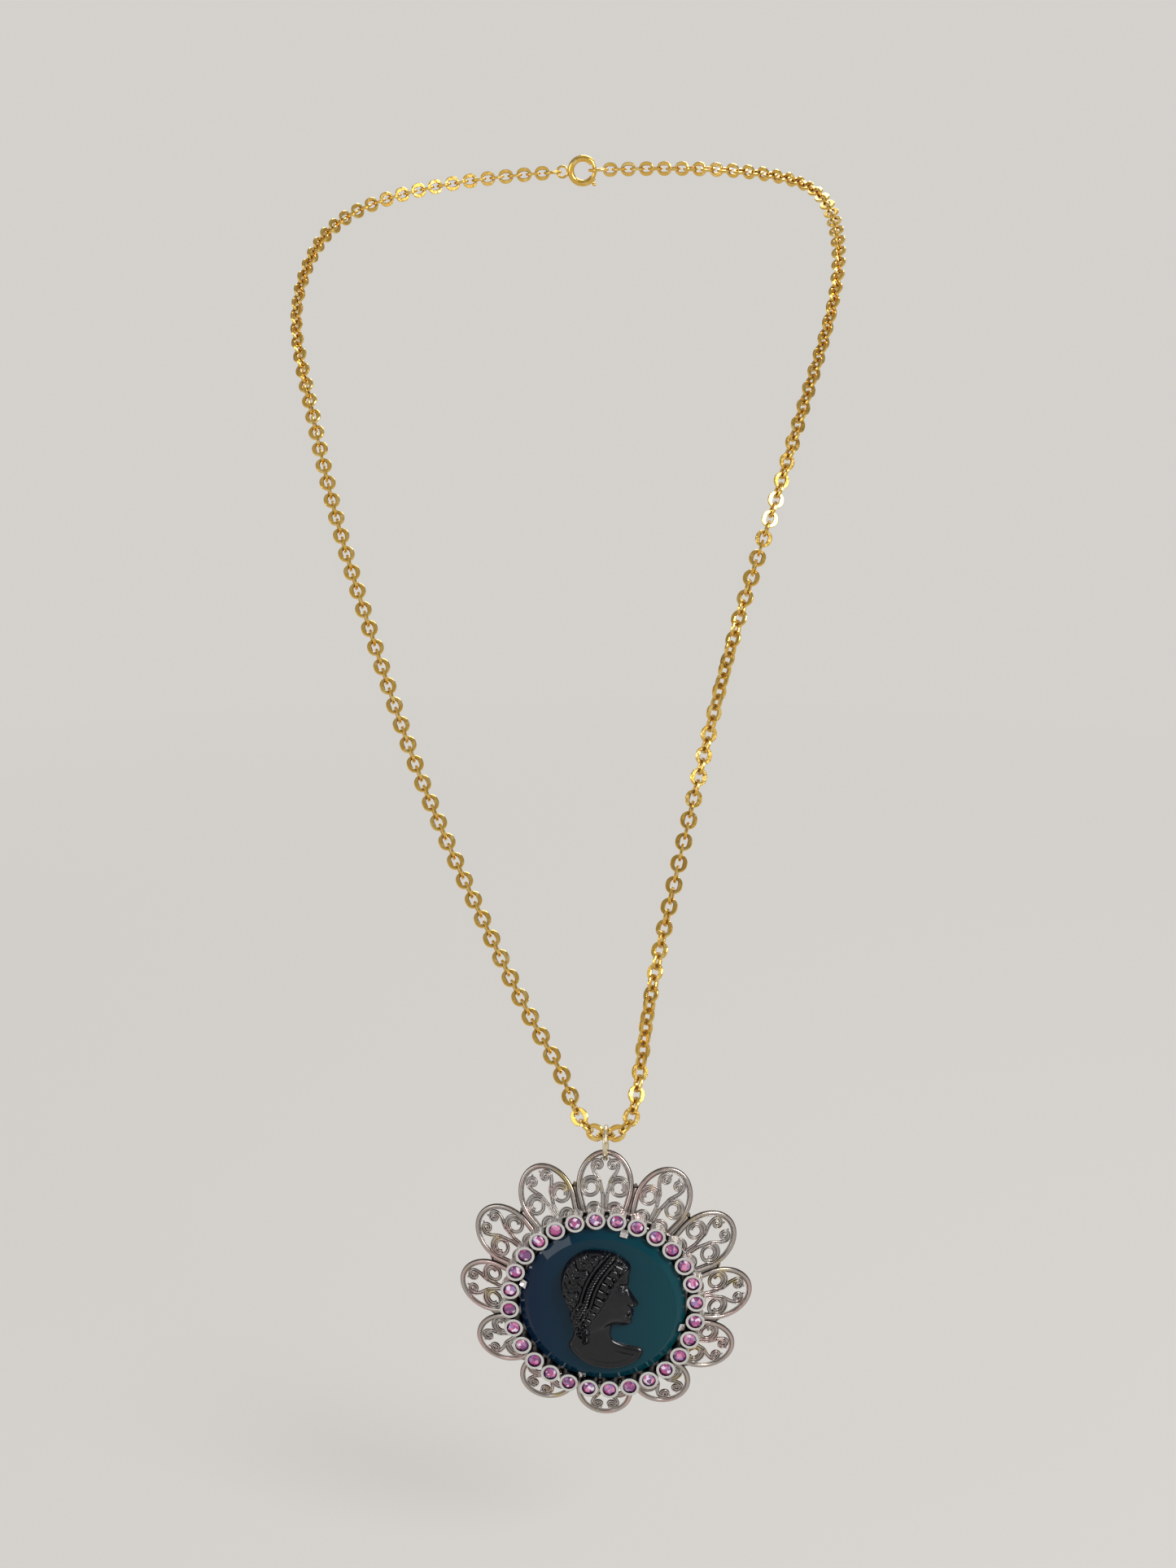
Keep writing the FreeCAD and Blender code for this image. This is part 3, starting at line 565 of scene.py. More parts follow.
@dataclass
class Flower:
    """The twelve filigree petals, each a polished rim filled with mirrored scrolls of paired wire."""

    centre: Vector
    count: int = 12
    root_radius: float = 13.2
    depth: float = 2.1
    tilt: float = math.radians(21)
    length: float = 14.7
    oval: float = 6.4
    half: float = 5.2
    root_half: float = 3.1
    rim: float = 0.85
    mid: float = 0.35
    side_points: tuple = (4.2, 2.1, 0.5)
    rim_wire: float = 0.43
    inner_wire: float = 0.13
    inner_gap: float = 0.06
    inner_drop: float = 0.10
    wire_step: float = 0.22
    strand: float = 0.165
    spread: float = 0.20
    strand_depth: float = 1.7
    seam_width: float = 0.62
    seam_length: float = 8.6
    seam_thickness: float = 0.5
    seam_depth: float = 0.42
    seam_bevel: float = 0.12
    stem: tuple = ((0.5, 0.30), (3.5, 0.30), (6.6, 0.36), (9.2, 1.05), (10.5, 1.95))
    curl: tuple = (11.9, 1.35)
    coil: tuple = (7.9, 2.55)
    root_curl: tuple = (3.9, 1.95)

    def outline(self, inset: float) -> list:
        """The middle line of the rim, drawn in from the petal's edge.

        Args:
            inset: Distance in from the petal's edge.

        Returns:
            The points, in order round the rim.
        """
        centre = self.length - self.oval
        along, across = self.oval - inset, self.half - inset
        corner = self.root_half - inset
        points = []
        for i in range(33):
            angle = math.radians(-108 + 216 * i / 32)
            points.append(Vector((centre + along * math.cos(angle), across * math.sin(angle), self.mid)))
        slope = (points[-1].y - corner) / points[-1].x
        sides = [Vector((x, corner + slope * x, self.mid)) for x in self.side_points]
        mirrored = [Vector((p.x, -p.y, p.z)) for p in reversed(sides)]
        return points + sides + mirrored

    def scroll_lines(self) -> list:
        """The three scroll lines of one half, in millimetres in the petal's plane.

        Returns:
            The lines, each a list of points.
        """
        stem = [Vector((x, y, 0)) for x, y in self.stem]
        return [
            stem + spiral(self.curl, 1.05, 0.28, 112, -440, 26),
            spiral(self.coil, 1.90, 0.86, -62, 560, 40),
            spiral(self.root_curl, 1.35, 0.32, -90, 560, 34),
        ]

    def petal(self) -> bpy.types.Object:
        """One petal lying flat at the origin, in metres.

        Returns:
            The petal.
        """
        strands = []
        for line in self.scroll_lines():
            for strand in paired(line, self.spread, self.wire_step):
                strands.append([Vector((p.x, p.y, self.mid + p.z)) for p in strand])
                strands.append([Vector((p.x, -p.y, self.mid + p.z)) for p in strand])
        scrolls = wires("scrolls", [[p * MM for p in s] for s in strands], self.strand * MM)
        middle = (0, 0, self.mid * MM)
        bpy.ops.transform.resize(value=(1, 1, self.strand_depth), center_override=middle)
        bpy.ops.object.transform_apply(location=True, rotation=False, scale=True)
        edge = [p * MM for p in self.outline(self.rim / 2)]
        rim = wires("rim", [edge], self.rim_wire * MM, sides=4, closed=True)
        inner = [(p - Vector((0, 0, self.inner_drop))) * MM for p in self.outline(self.rim + self.inner_gap)]
        inner_rim = wires("inner_rim", [inner], self.inner_wire * MM, closed=True)
        grains = [self.grain(x, y * sign, r) for x, y, r in self.grains() for sign in (1, -1)]
        return joined("petal", [scrolls, rim, inner_rim] + grains)

    def grains(self) -> tuple:
        """Places and radii of the solder grains of one half, in millimetres."""
        return (*self.curl, 0.27), (*self.root_curl, 0.30), (6.9, 0.62, 0.22), (13.1, 0.75, 0.20)

    def grain(self, x: float, y: float, radius: float) -> bpy.types.Object:
        """A small ball of solder.

        Args:
            x: Place along the petal, in millimetres.
            y: Place across it.
            radius: Radius of the ball.

        Returns:
            The ball.
        """
        deselect()
        place = (x * MM, y * MM, self.mid * MM)
        bpy.ops.mesh.primitive_ico_sphere_add(subdivisions=2, radius=radius * MM, location=place)
        bpy.ops.transform.resize(value=(1, 1, 0.8))
        bpy.ops.object.transform_apply(location=True, rotation=False, scale=True)
        bpy.ops.object.shade_smooth()
        return bpy.context.object

    def stand(self) -> Matrix:
        """Takes a piece that lies flat at the origin to the top petal's place, round the stone.

        Returns:
            The matrix.
        """
        along = Vector((0, math.sin(self.tilt), math.cos(self.tilt)))
        back = Vector((0, math.cos(self.tilt), -math.sin(self.tilt)))
        place = Matrix((along, Vector((1, 0, 0)), back)).transposed().to_4x4()
        place.translation = Vector((0, self.depth * MM, self.root_radius * MM))
        return place

    def seams(self, material: bpy.types.Material) -> bpy.types.Object:
        """The flat strips between neighbouring rims, soldered to the back plate's arms.

        Args:
            material: The finish of the strips.

        Returns:
            The strips, as one piece.
        """
        deselect()
        bpy.ops.mesh.primitive_cube_add(size=1, location=(self.seam_length / 2 * MM, 0, self.seam_depth * MM))
        strip = bpy.context.object
        size = (self.seam_length * MM, self.seam_width * MM, self.seam_thickness * MM)
        bpy.ops.transform.resize(value=size)
        bpy.ops.object.transform_apply(location=True, rotation=False, scale=True)
        bpy.ops.object.mode_set(mode="EDIT")
        bpy.ops.mesh.select_all(action="SELECT")
        bpy.ops.mesh.bevel(offset=self.seam_bevel * MM, segments=2)
        bpy.ops.object.mode_set(mode="OBJECT")
        bpy.ops.object.shade_smooth_by_angle(angle=math.radians(30))
        strips = []
        for i in range(self.count):
            turn = Matrix.Rotation(2 * math.pi * (i + 0.5) / self.count, 4, "Y")
            place = Matrix.Translation(self.centre) @ turn @ self.stand()
            strips.append(copied(strip, f"strip_{i}", place))
        bpy.data.objects.remove(strip)
        seams = joined("petal_seam_strips", strips)
        dress(seams, material)
        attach(seams, "pendant")
        return seams

    def build(self, material: bpy.types.Material) -> list:
        """Makes the twelve petals, each for its own node.

        Args:
            material: The finish of the filigree.

        Returns:
            The petals, clockwise from the top.
        """
        flat = self.petal()
        stand = self.stand()
        petals = []
        for i in range(self.count):
            turn = Matrix.Rotation(2 * math.pi * i / self.count, 4, "Y")
            node = f"petal_{i + 1:02d}"
            petal = copied(flat, f"filigree_{node}", Matrix.Translation(self.centre) @ turn @ stand)
            dress(petal, material)
            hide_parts(node)
            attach(petal, "pendant")
            petals.append(petal)
        bpy.data.objects.remove(flat)
        return petals


@dataclass
class StoneRing:
    """The 28 cut stones, one in each cup."""

    centre: Vector
    count: int = 28
    ring_radius: float = 16.92
    phase: float = -4.3
    radius: float = 1.37
    table: float = 0.74
    star_radius: float = 1.10
    star_height: float = 0.30
    front: float = 0.93
    crown: float = 0.52
    pavilion: float = 0.95
    sides: int = 8
    spin: float = 0.37

    def stone(self) -> bpy.types.Object:
        """One stone, cut with a table, star and kite facets, and a pointed pavilion.

        Returns:
            The stone, with its girdle at the origin.
        """
        deselect()
        bpy.ops.mesh.primitive_circle_add(vertices=2 * self.sides, radius=self.radius * MM, fill_type="NGON")
        stone = bpy.context.object
        bpy.ops.object.mode_set(mode="EDIT")
        bpy.ops.mesh.select_all(action="SELECT")
        width, height = self.radius, 0.0
        for next_width, next_height in ((self.star_radius, self.star_height), (self.table, self.crown)):
            grow = next_width / width
            bpy.ops.mesh.extrude_region_move()
            bpy.ops.transform.translate(value=(0, 0, (next_height - height) * MM))
            bpy.ops.transform.resize(value=(grow, grow, 1))
            middle, turn = (0, 0, next_height * MM), math.pi / (2 * self.sides)
            bpy.ops.transform.rotate(value=turn, orient_axis="Z", center_override=middle)
            width, height = next_width, next_height
        bpy.ops.mesh.select_all(action="SELECT")
        bpy.ops.mesh.quads_convert_to_tris()
        bpy.ops.object.mode_set(mode="OBJECT")
        deselect()
        bpy.ops.mesh.primitive_cone_add(
            vertices=2 * self.sides, radius1=self.radius * MM, radius2=0, depth=self.pavilion * MM,
            location=(0, 0, -self.pavilion / 2 * MM), rotation=(math.pi, 0, 0), end_fill_type="NOTHING",
        )
        bpy.ops.object.transform_apply(location=True, rotation=True, scale=True)
        stone = joined("stone", [stone, bpy.context.object])
        bpy.ops.object.mode_set(mode="EDIT")
        bpy.ops.mesh.select_all(action="SELECT")
        bpy.ops.mesh.remove_doubles(threshold=0.01 * MM)
        bpy.ops.mesh.normals_make_consistent(inside=False)
        bpy.ops.object.mode_set(mode="OBJECT")
        return stone

    def build(self, material: bpy.types.Material) -> bpy.types.Object:
        """Sets the stones in their cups, each turned a little differently.

        Args:
            material: The finish of the stones.

        Returns:
            The stones, as one piece.
        """
        flat = self.stone()
        face = Matrix(((1, 0, 0), (0, 0, -1), (0, 1, 0))).to_4x4()
        girdle = (-self.front + self.crown) * MM
        out = Matrix.Translation((0, girdle, self.ring_radius * MM))
        stones = []
        for i in range(self.count):
            turn = Matrix.Rotation(math.radians(self.phase + 360 / self.count * i), 4, "Y")
            spin = Matrix.Rotation(self.spin * i, 4, "Z")
            place = Matrix.Translation(self.centre) @ turn @ out @ face @ spin
            stones.append(copied(flat, f"stone_{i + 1:02d}", place))
        bpy.data.objects.remove(flat)
        ring = joined("cut_stones", stones)
        dress(ring, material)
        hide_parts("rhinestones")
        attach(ring, "pendant")
        return ring


@dataclass
class Cameo:
    """The carved head: a calm woman's head in profile, of plain classical proportions.

    Heights are worked out over a fine grid, in millimetres from the plate's face.
    """

    centre: Vector
    face_depth: float = 1.2
    width: int = 190
    tall: int = 300
    body: float = 1.20
    edge: float = 3.0
    outline: tuple = (
        (-2.0, 11.3), (1.5, 11.0), (3.6, 9.9), (4.9, 8.6), (5.0, 7.4), (4.75, 6.4), (4.8, 5.3),
        (4.55, 4.3), (5.1, 3.2), (5.9, 1.9), (6.45, 1.0), (6.2, 0.5), (5.45, 0.3), (5.4, -0.2),
        (5.75, -0.6), (5.4, -0.9), (5.6, -1.3), (5.1, -1.8), (5.35, -2.6), (4.7, -3.3), (3.4, -3.5),
        (2.0, -3.5), (1.5, -4.6), (1.7, -6.2), (3.8, -7.3), (6.6, -7.8), (7.3, -8.6), (6.4, -10.4),
        (4.0, -11.8), (1.0, -12.3), (-2.4, -11.6), (-4.9, -9.8), (-6.1, -7.8), (-5.4, -6.3),
        (-5.2, -4.6), (-5.9, -2.2), (-5.9, -0.4), (-6.7, 1.0), (-7.4, 3.2), (-7.3, 6.2),
        (-6.2, 8.8), (-4.2, 10.6),
    )
    hairline: tuple = (
        (4.9, 8.3), (3.6, 7.9), (2.4, 6.6), (1.6, 5.0), (1.2, 3.2), (0.2, 1.0), (-1.4, -1.6), (-2.6, -3.4),
    )
    temple_curls: tuple = (
        (4.1, 8.5, 0.85), (3.1, 7.5, 0.85), (2.3, 8.7, 0.75), (2.0, 6.3, 0.80), (1.4, 5.0, 0.75),
        (0.9, 3.8, 0.70), (3.2, 9.4, 0.65), (0.4, 2.7, 0.60),
    )
    nape_curls: tuple = (
        (-3.4, 0.6, 1.05), (-4.8, -0.1, 1.05), (-3.2, -1.2, 1.05), (-4.6, -1.9, 1.0), (-2.2, -0.2, 0.85),
        (-3.2, -3.0, 0.95), (-4.4, -3.7, 0.90), (-3.0, -4.7, 0.85), (-3.9, -5.4, 0.80), (-3.0, -6.4, 0.70),
    )
    crown_curls: tuple = (
        (0.2, 10.3, 0.85), (-1.5, 9.9, 1.15), (-3.4, 9.0, 1.25), (-1.3, 8.0, 0.95), (-5.1, 7.5, 1.20),
        (-3.0, 7.0, 1.15), (-6.1, 5.5, 1.15), (-4.4, 5.4, 1.10), (-2.9, 5.1, 0.80), (-6.2, 3.6, 1.10),
        (-4.5, 3.5, 1.05), (-5.7, 1.8, 1.05), (-4.2, 1.9, 0.90),
    )
    band: tuple = ((2.3, 10.9), (-3.0, 1.2))

    def smooth_outline(self) -> np.ndarray:
        """The outline as a closed smooth line with ten points for each of its own.

        Returns:
            The points, one in each row.
        """
        points = np.array(self.outline)
        before, after, far = np.roll(points, 1, 0), np.roll(points, -1, 0), np.roll(points, -2, 0)
        parts = []
        for t in np.arange(0, 1, 0.1):
            parts.append(0.5 * (
                2 * points + (after - before) * t
                + (2 * before - 5 * points + 4 * after - far) * t ** 2
                + (3 * points - before - 3 * after + far) * t ** 3
            ))
        return np.stack(parts, 1).reshape(-1, 2)

    @staticmethod
    def distance(x: np.ndarray, z: np.ndarray, line: np.ndarray) -> np.ndarray:
        """Distance of every grid point to a broken line.

        Args:
            x: Places across, in millimetres.
            z: Heights, in millimetres.
            line: Points of the broken line.

        Returns:
            The distances.
        """
        best = np.full(x.shape, 1e9)
        for (ax, az), (bx, bz) in zip(line[:-1], line[1:]):
            dx, dz = bx - ax, bz - az
            length = max(dx * dx + dz * dz, 1e-12)
            t = np.clip(((x - ax) * dx + (z - az) * dz) / length, 0, 1)
            best = np.minimum(best, np.hypot(x - ax - t * dx, z - az - t * dz))
        return best

    @staticmethod
    def inside(x: np.ndarray, z: np.ndarray, line: np.ndarray) -> np.ndarray:
        """Which grid points lie inside a closed line.

        Args:
            x: Places across, in millimetres.
            z: Heights, in millimetres.
            line: Points of the closed line.

        Returns:
            True where a point is inside.
        """
        hit = np.zeros(x.shape, bool)
        for (ax, az), (bx, bz) in zip(line, np.roll(line, -1, 0)):
            crosses = (az > z) != (bz > z)
            slope = (bx - ax) * (z - az) / (bz - az if bz != az else 1e-9) + ax
            hit ^= crosses & (x < slope)
        return hit

    @staticmethod
    def bump(x: np.ndarray, z: np.ndarray, at: Point, size: Point, turn: float = 0.0) -> np.ndarray:
        """A soft round or oval rise of height 1.

        Args:
            x: Places across, in millimetres.
            z: Heights, in millimetres.
            at: Its middle.
            size: Its reach each way.
            turn: Its turn in degrees.

        Returns:
            The heights.
        """
        c, s = math.cos(math.radians(turn)), math.sin(math.radians(turn))
        u = ((x - at[0]) * c + (z - at[1]) * s) / size[0]
        v = (-(x - at[0]) * s + (z - at[1]) * c) / size[1]
        return np.exp(-(u * u + v * v))

    @staticmethod
    def curl(x: np.ndarray, z: np.ndarray, at: Point, radius: float, hand: float) -> np.ndarray:
        """A round lock of hair with a groove that winds to its middle.

        Args:
            x: Places across, in millimetres.
            z: Heights, in millimetres.
            at: Its middle.
            radius: Its radius.
            hand: 1 or -1, for the way it winds.

        Returns:
            The heights.
        """
        r = np.hypot(x - at[0], z - at[1]) / radius
        angle = np.arctan2(z - at[1], x - at[0])
        dome = np.sqrt(np.clip(1 - r * r, 0, 1))
        groove = 0.5 + 0.5 * np.cos(2 * math.pi * 1.7 * r - hand * angle)
        return dome * (0.40 + 0.60 * groove)

    def features(self, x: np.ndarray, z: np.ndarray) -> np.ndarray:
        """Brow, eye, nose, lips, cheek, jaw and throat, as heights over the head's plain dome.

        Args:
            x: Places across, in millimetres.
            z: Heights, in millimetres.

        Returns:
            The heights.
        """
        rise: Callable = lambda at, size, turn=0.0: self.bump(x, z, at, size, turn)
        h = 0.50 * rise((2.4, 1.2), (1.9, 1.9)) + 0.30 * rise((4.4, -2.6), (0.8, 0.6))
        h += 0.30 * rise((2.2, -1.4), (2.2, 1.1), 20) + 0.22 * rise((3.9, 5.5), (1.1, 0.35), -8)
        h -= 0.75 * rise((3.55, 4.20), (1.10, 0.62), -4)
        h += 0.70 * rise((3.60, 4.05), (0.55, 0.36)) + 0.26 * rise((3.55, 4.55), (0.80, 0.11), -10)
        h += 0.18 * rise((3.55, 3.62), (0.62, 0.09), 6) + 0.50 * rise((5.1, 2.4), (0.35, 1.3), 20)
        h += 0.50 * rise((5.35, 0.95), (0.42, 0.36)) - 0.30 * rise((5.60, 0.52), (0.20, 0.10), 10)
        h -= 0.28 * rise((4.72, 1.0), (0.15, 0.42), 25)
        h += 0.45 * rise((5.05, -0.50), (0.60, 0.20), 12) + 0.45 * rise((5.0, -1.32), (0.55, 0.24), -8)
        h -= 0.50 * rise((4.9, -0.90), (0.66, 0.09)) + 0.20 * rise((4.9, -1.85), (0.6, 0.2))
        h += 0.30 * rise((-0.5, -5.6), (0.55, 3.2), -18) - 0.25 * rise((0.9, -3.9), (1.5, 0.7), 14)
        h += 0.35 * rise((-0.6, 2.0), (0.62, 1.0), -8) - 0.22 * rise((-0.5, 2.0), (0.28, 0.55), -8)
        return h

    def hair(self, x: np.ndarray, z: np.ndarray) -> np.ndarray:
        """Waves that run back from the brow, the rope band and the bunches of curls.

        Args:
            x: Places across, in millimetres.
            z: Heights, in millimetres.

        Returns:
            The heights.
        """
        line = np.array(self.hairline)
        edge = np.interp(z, line[::-1, 1], line[::-1, 0])
        mask = 1 / (1 + np.exp((x - edge) / 0.14))
        mask *= 1 / (1 + np.exp((-3.6 - z) / 0.3))
        along, across = self.band_place(x, z)
        behind = np.clip(-across - 1.3, 0, None)
        phase = along / 1.55 + 0.30 * np.sin(2 * math.pi * behind / 3.0) + 0.08 * behind
        locks = np.abs(np.cos(math.pi * phase)) ** 0.6
        strands = 0.5 + 0.5 * np.cos(2 * math.pi * 3 * phase)
        h = mask * (0.25 + 0.55 * locks + 0.10 * strands)
        band = np.abs(across) < 1.42
        h = np.where(band, mask * (0.30 + self.headband(along, across)), h)
        for base, bunch in ((0.25, self.temple_curls), (0.22, self.crown_curls), (0.20, self.nape_curls)):
            free = ~band if bunch is self.crown_curls else True
            for i, (cx, cz, r) in enumerate(bunch):
                lock = base + 0.82 * self.curl(x, z, (cx, cz), r, 1 - 2 * (i % 2))
                h = np.maximum(h, lock * ((np.hypot(x - cx, z - cz) < r) & free))
        return h

    def band_place(self, x: np.ndarray, z: np.ndarray) -> tuple:
        """Where each point lies along the bowed headband and across it, the face's side positive.

        Args:
            x: Places across, in millimetres.
            z: Heights, in millimetres.

        Returns:
            The two places.
        """
        (ax, az), (bx, bz) = self.band
        length = math.hypot(bx - ax, bz - az)
        along = ((x - ax) * (bx - ax) + (z - az) * (bz - az)) / length
        bow = 0.9 * np.sin(np.clip(along / length, 0, 1) * math.pi)
        across = -((x - ax) * (bz - az) - (z - az) * (bx - ax)) / length + bow
        return along, across

    @staticmethod
    def headband(along: np.ndarray, across: np.ndarray) -> np.ndarray:
        """A wide band over the hair: a twisted rope between two smooth ribbons.

        Args:
            along: Place along the band.
            across: Place across it.

        Returns:
            The heights.
        """
        rope = np.sqrt(np.clip(1 - (across / 0.60) ** 2, 0, 1))
        twist = np.abs(np.sin(math.pi * (along / 0.62 + across / 1.6))) ** 0.7
        ribbons = sum(np.sqrt(np.clip(1 - ((across - side * 1.02) / 0.36) ** 2, 0, 1)) for side in (-1, 1))
        return rope * (0.35 + 0.40 * twist) + 0.42 * ribbons

    @staticmethod
    def drape(x: np.ndarray, z: np.ndarray, depth: np.ndarray) -> np.ndarray:
        """A rolled hem along the cut of the shoulders.

        Args:
            x: Places across, in millimetres.
            z: Heights, in millimetres.
            depth: Distance in from the outline.

        Returns:
            The heights.
        """
        low = 1 / (1 + np.exp((z + 8.2 + 0.10 * x) / 0.25))
        hem = 0.28 * np.exp(-((depth - 0.55) / 0.35) ** 2) + 0.18 * np.exp(-((depth - 1.45) / 0.22) ** 2)
        return low * hem

    def build(self, material: bpy.types.Material) -> bpy.types.Object:
        """Carves the head from a fine grid.

        Args:
            material: The satin black finish.

        Returns:
            The relief, its back closed against the plate.
        """
        line = self.smooth_outline()
        low, high = line.min(0) - 0.1, line.max(0) + 0.1
        deselect()
        bpy.ops.mesh.primitive_grid_add(x_subdivisions=self.width, y_subdivisions=self.tall, size=2)
        relief = bpy.context.object
        relief.name = "carved_head"
        mesh = relief.data
        co = np.zeros(len(mesh.vertices) * 3)
        mesh.vertices.foreach_get("co", co)
        co = co.reshape(-1, 3)
        x = low[0] + (co[:, 0] + 1) / 2 * (high[0] - low[0])
        z = low[1] + (co[:, 1] + 1) / 2 * (high[1] - low[1])
        closed = np.vstack([line, line[:1]])
        depth = self.distance(x, z, closed)
        within = self.inside(x, z, line)
        dome = np.sqrt(np.clip(1 - (1 - np.clip(depth / self.edge, 0, 1)) ** 2, 0, 1))
        jaw = 1 / (1 + np.exp((-3.3 - z + 0.35 * (x - 1.5)) / 0.25))
        body = self.body * dome * (0.72 + 0.28 * jaw)
        rim = np.clip(depth / 0.35, 0, 1) ** 0.5
        height = body + rim * (self.features(x, z) * jaw + self.hair(x, z) + self.drape(x, z, depth))
        height += 0.10 * rim
        height = np.where(within, np.clip(height, 0.02, 2.55), -0.02)
        co[:, 0] = self.centre.x + x * MM
        co[:, 1] = self.centre.y - (self.face_depth + height) * MM
        co[:, 2] = self.centre.z + z * MM
        mesh.vertices.foreach_set("co", co.ravel())
        self.trim(relief, within)
        dress(relief, material)
        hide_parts("cameo_relief")
        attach(relief, "pendant")
        return relief

    @staticmethod
    def trim(relief: bpy.types.Object, within: np.ndarray) -> None:
        """Deletes the grid outside the head, and closes its back.

        Args:
            relief: The carved grid.
            within: Which of its points lie in the head.
        """
        mesh = relief.data
        keep = np.zeros(len(mesh.polygons), bool)
        for face in mesh.polygons:
            keep[face.index] = any(within[v] for v in face.vertices)
        bpy.ops.object.mode_set(mode="EDIT")
        bpy.ops.mesh.select_mode(type="FACE")
        bpy.ops.mesh.select_all(action="DESELECT")
        bpy.ops.object.mode_set(mode="OBJECT")
        mesh.polygons.foreach_set("select", ~keep)
        bpy.ops.object.mode_set(mode="EDIT")
        bpy.ops.mesh.delete(type="FACE")
        bpy.ops.mesh.select_mode(type="EDGE")
        bpy.ops.mesh.select_all(action="DESELECT")
        bpy.ops.mesh.select_non_manifold()
        bpy.ops.mesh.edge_face_add()
        bpy.ops.mesh.select_all(action="SELECT")
        bpy.ops.mesh.normals_make_consistent(inside=False)
        bpy.ops.object.mode_set(mode="OBJECT")
        bpy.ops.object.shade_smooth_by_angle(angle=math.radians(60))


# ---------------------------------------------------------------- metal of the frame


@dataclass
class FrameMetal:
    """The pieces whose shape the frame already gives, and the finish of each."""

    finishes: dict = field(default_factory=dict)

    def finish_of(self, node: str) -> bpy.types.Material:
        """The finish of a node, by its name.

        Args:
            node: Name of the node.

        Returns:
            Its material.
        """
        if node == "glass_plate":
            return self.finishes[Slot.GLASS]
        if node in ("stone_cups", "cup_bars", "gallery_plate"):
            return self.finishes[Slot.BRIGHT]
        if node == "petal_hub" or node.startswith("petal_"):
            return self.finishes[Slot.ANTIQUE]
        if node == "hang_ring":
            return self.finishes[Slot.RING]
        if node == "clasp_spring":
            return self.finishes[Slot.SPRING]
        return self.finishes[Slot.GOLD]

    def build(self, nodes: dict) -> None:
        """Dresses every frame piece that still shows.

        Args:
            nodes: The frame's pieces by node name.
        """
        for name, piece in nodes.items():
            if not piece.hide_render:
                dress(piece, self.finish_of(name))
                LOG.info("dressed %s", name)


# ---------------------------------------------------------------- studio


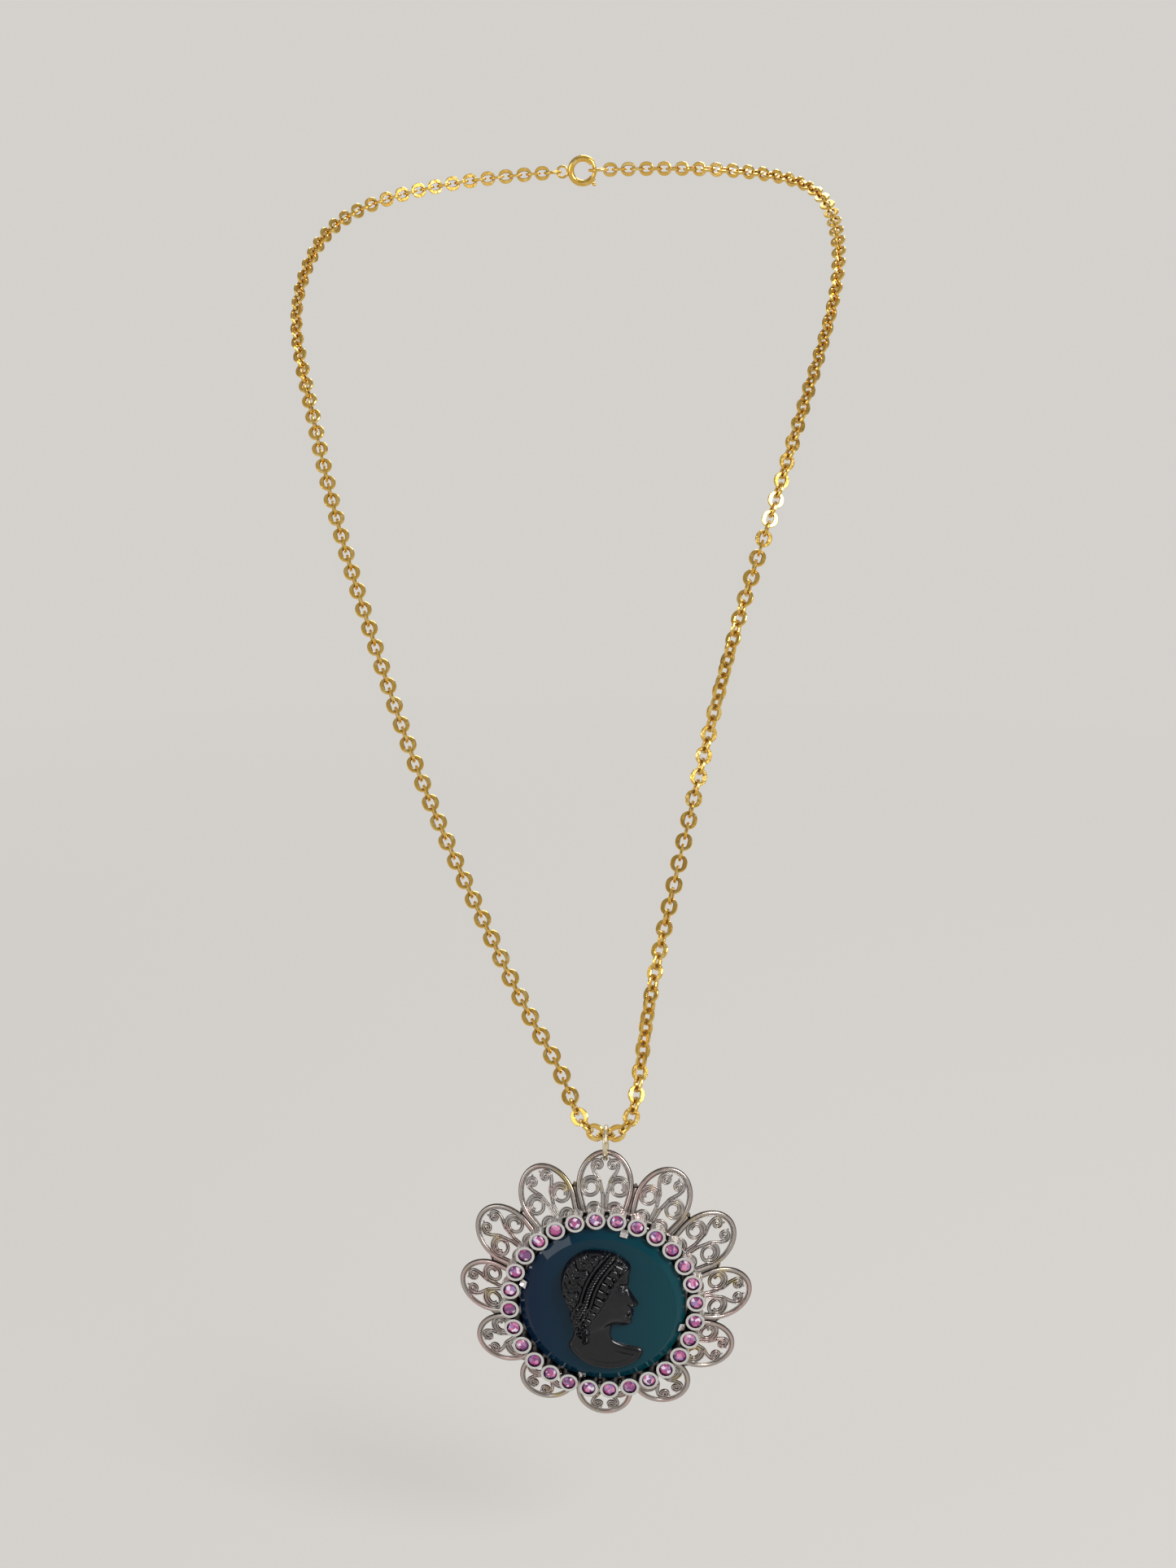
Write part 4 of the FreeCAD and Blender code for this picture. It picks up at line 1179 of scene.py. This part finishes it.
@dataclass
class Studio:
    """A pale floor, soft lamps, and a camera in front of the wearer and a little above."""

    stone: Vector
    distance: float = 0.4092
    pitch: float = math.radians(15.7)
    turn: float = math.radians(4.0)
    lens: float = 52.0
    right_shift: float = 0.00657
    down_shift: float = 0.22945
    floor_gap: float = 0.03
    pale: tuple = (0.66, 0.64, 0.61)
    glow_share: float = 0.75
    shade_reach: tuple = (0.15, 0.60)

    def camera(self) -> None:
        """Places the camera so that the pendant lies low in the middle of the view."""
        a, p = self.turn, self.pitch
        ahead = Vector((-math.sin(a) * math.cos(p), math.cos(a) * math.cos(p), -math.sin(p)))
        right = Vector((math.cos(a), math.sin(a), 0))
        up = right.cross(ahead)
        reach = ahead + right * self.right_shift - up * self.down_shift
        data = bpy.data.cameras.new("camera")
        data.lens = self.lens
        data.sensor_width = 36.0
        data.clip_start = 0.01
        data.clip_end = 60.0
        camera = bpy.data.objects.new("camera", data)
        place = Matrix((right, up, -ahead)).transposed().to_4x4()
        place.translation = self.stone - reach * self.distance
        camera.matrix_world = place
        bpy.context.scene.collection.objects.link(camera)
        bpy.context.scene.camera = camera

    def floor(self, height: float) -> None:
        """A wide pale floor under the pendant.

        Args:
            height: Height of the necklace's lowest point.
        """
        deselect()
        bpy.ops.mesh.primitive_plane_add(size=30, location=(0, 0, height - self.floor_gap))
        floor = bpy.context.object
        floor.name = "floor"
        material = bpy.data.materials.new("pale_floor")
        material.use_nodes = True
        tree = material.node_tree
        shader = tree.nodes["Principled BSDF"]
        shader.inputs["Base Color"].default_value = (*self.pale, 1)
        shader.inputs["Roughness"].default_value = 0.9
        glow = tree.nodes.new("ShaderNodeEmission")
        glow.inputs["Color"].default_value = (*self.pale, 1)
        light_path = tree.nodes.new("ShaderNodeLightPath")
        seen = light_path.outputs["Is Camera Ray"]
        for ray in ("Is Glossy Ray", "Is Transmission Ray"):
            either = tree.nodes.new("ShaderNodeMath")
            either.operation = "MAXIMUM"
            tree.links.new(seen, either.inputs[0])
            tree.links.new(light_path.outputs[ray], either.inputs[1])
            seen = either.outputs["Value"]
        place = tree.nodes.new("ShaderNodeTexCoord").outputs["Object"]
        far = tree.nodes.new("ShaderNodeVectorMath")
        far.operation = "LENGTH"
        tree.links.new(place, far.inputs[0])
        reach = tree.nodes.new("ShaderNodeMapRange")
        values = (*self.shade_reach, self.glow_share, 1.0)
        for key, value in zip(("From Min", "From Max", "To Min", "To Max"), values):
            reach.inputs[key].default_value = value
        tree.links.new(far.outputs["Value"], reach.inputs["Value"])
        share = tree.nodes.new("ShaderNodeMath")
        share.operation = "MULTIPLY"
        tree.links.new(seen, share.inputs[0])
        tree.links.new(reach.outputs["Result"], share.inputs[1])
        mix = tree.nodes.new("ShaderNodeMixShader")
        tree.links.new(share.outputs["Value"], mix.inputs["Fac"])
        tree.links.new(shader.outputs["BSDF"], mix.inputs[1])
        tree.links.new(glow.outputs["Emission"], mix.inputs[2])
        tree.links.new(mix.outputs["Shader"], tree.nodes["Material Output"].inputs["Surface"])
        dress(floor, material)
        floor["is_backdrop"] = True

    def lamp(self, name: str, place: Point, size: float, power: float, colour: Point = (1, 1, 1)) -> None:
        """A square soft lamp that faces the pendant.

        Args:
            name: Name of the lamp.
            place: Place from the stone, in metres.
            size: Side of the lamp.
            power: Power in watts.
            colour: Colour of its light.
        """
        data = bpy.data.lights.new(name, "AREA")
        data.size = size
        data.energy = power
        data.color = colour
        lamp = bpy.data.objects.new(name, data)
        lamp.location = self.stone + Vector(place)
        lamp.rotation_euler = (-Vector(place)).to_track_quat("-Z", "Y").to_euler()
        bpy.context.scene.collection.objects.link(lamp)

    def world(self) -> None:
        """Soft light from all round, brighter from above and dim from below."""
        world = bpy.data.worlds.new("studio")
        bpy.context.scene.world = world
        world.use_nodes = True
        tree = world.node_tree
        light = tree.nodes["Background"]
        place = tree.nodes.new("ShaderNodeTexCoord").outputs["Generated"]
        split = tree.nodes.new("ShaderNodeSeparateXYZ")
        tree.links.new(place, split.inputs["Vector"])
        ramp = tree.nodes.new("ShaderNodeValToRGB")
        levels = ((0.0, 1.0), (0.12, 1.0), (0.45, 0.35), (1.0, 0.75))
        while len(ramp.color_ramp.elements) < len(levels):
            ramp.color_ramp.elements.new(0.5)
        for stop, (at, level) in zip(ramp.color_ramp.elements, levels):
            stop.position = at
            stop.color = (*(level * c for c in self.pale), 1)
        tree.links.new(split.outputs["Z"], ramp.inputs["Fac"])
        tree.links.new(ramp.outputs["Color"], light.inputs["Color"])
        light.inputs["Strength"].default_value = 1.0

    def build(self, lowest: float) -> None:
        """Sets up camera, floor and light.

        Args:
            lowest: Height of the lowest point of the necklace.
        """
        self.camera()
        self.floor(lowest)
        self.world()
        self.lamp("key", (0.45, -0.30, 0.50), 0.28, 4.0)
        self.lamp("fill", (-0.60, -0.40, 0.35), 0.35, 1.2, (0.94, 0.97, 1.0))
        self.lamp("back", (0.10, 0.60, 0.60), 0.40, 2.0)
        bpy.context.scene.view_settings.view_transform = "Standard"


def main() -> None:
    """Builds the necklace round its frame, from the stones outwards."""
    logging.basicConfig(level=logging.INFO, format="%(name)s: %(message)s")
    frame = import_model()
    cad_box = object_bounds()
    low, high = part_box("glass_plate")
    centre = Vector(((low.x + high.x) / 2, low.y + 1.2 * MM, (low.z + high.z) / 2))
    finishes = {
        Slot.GOLD: GOLD.make(), Slot.ANTIQUE: ANTIQUE.make(), Slot.BRIGHT: BRIGHT.make(),
        Slot.RING: RING.make(), Slot.SPRING: SPRING.make(), Slot.CAMEO: CAMEO.make(),
        Slot.GLASS: GlassFinish(centre=centre.x).make(), Slot.STONE: StoneFinish().make(),
    }
    Studio(centre).build(cad_box[0].z)
    petals = Flower(centre).build(finishes[Slot.ANTIQUE])
    LOG.info("made %d petals", len(petals))
    seams = Flower(centre).seams(finishes[Slot.ANTIQUE])
    LOG.info("made %s", seams.name)
    stones = StoneRing(centre).build(finishes[Slot.STONE])
    LOG.info("made %s", stones.name)
    head = Cameo(centre).build(finishes[Slot.CAMEO])
    LOG.info("made %s with %d faces", head.name, len(head.data.polygons))
    FrameMetal(finishes).build(frame["nodes"])


if __name__ == "__main__":
    main()
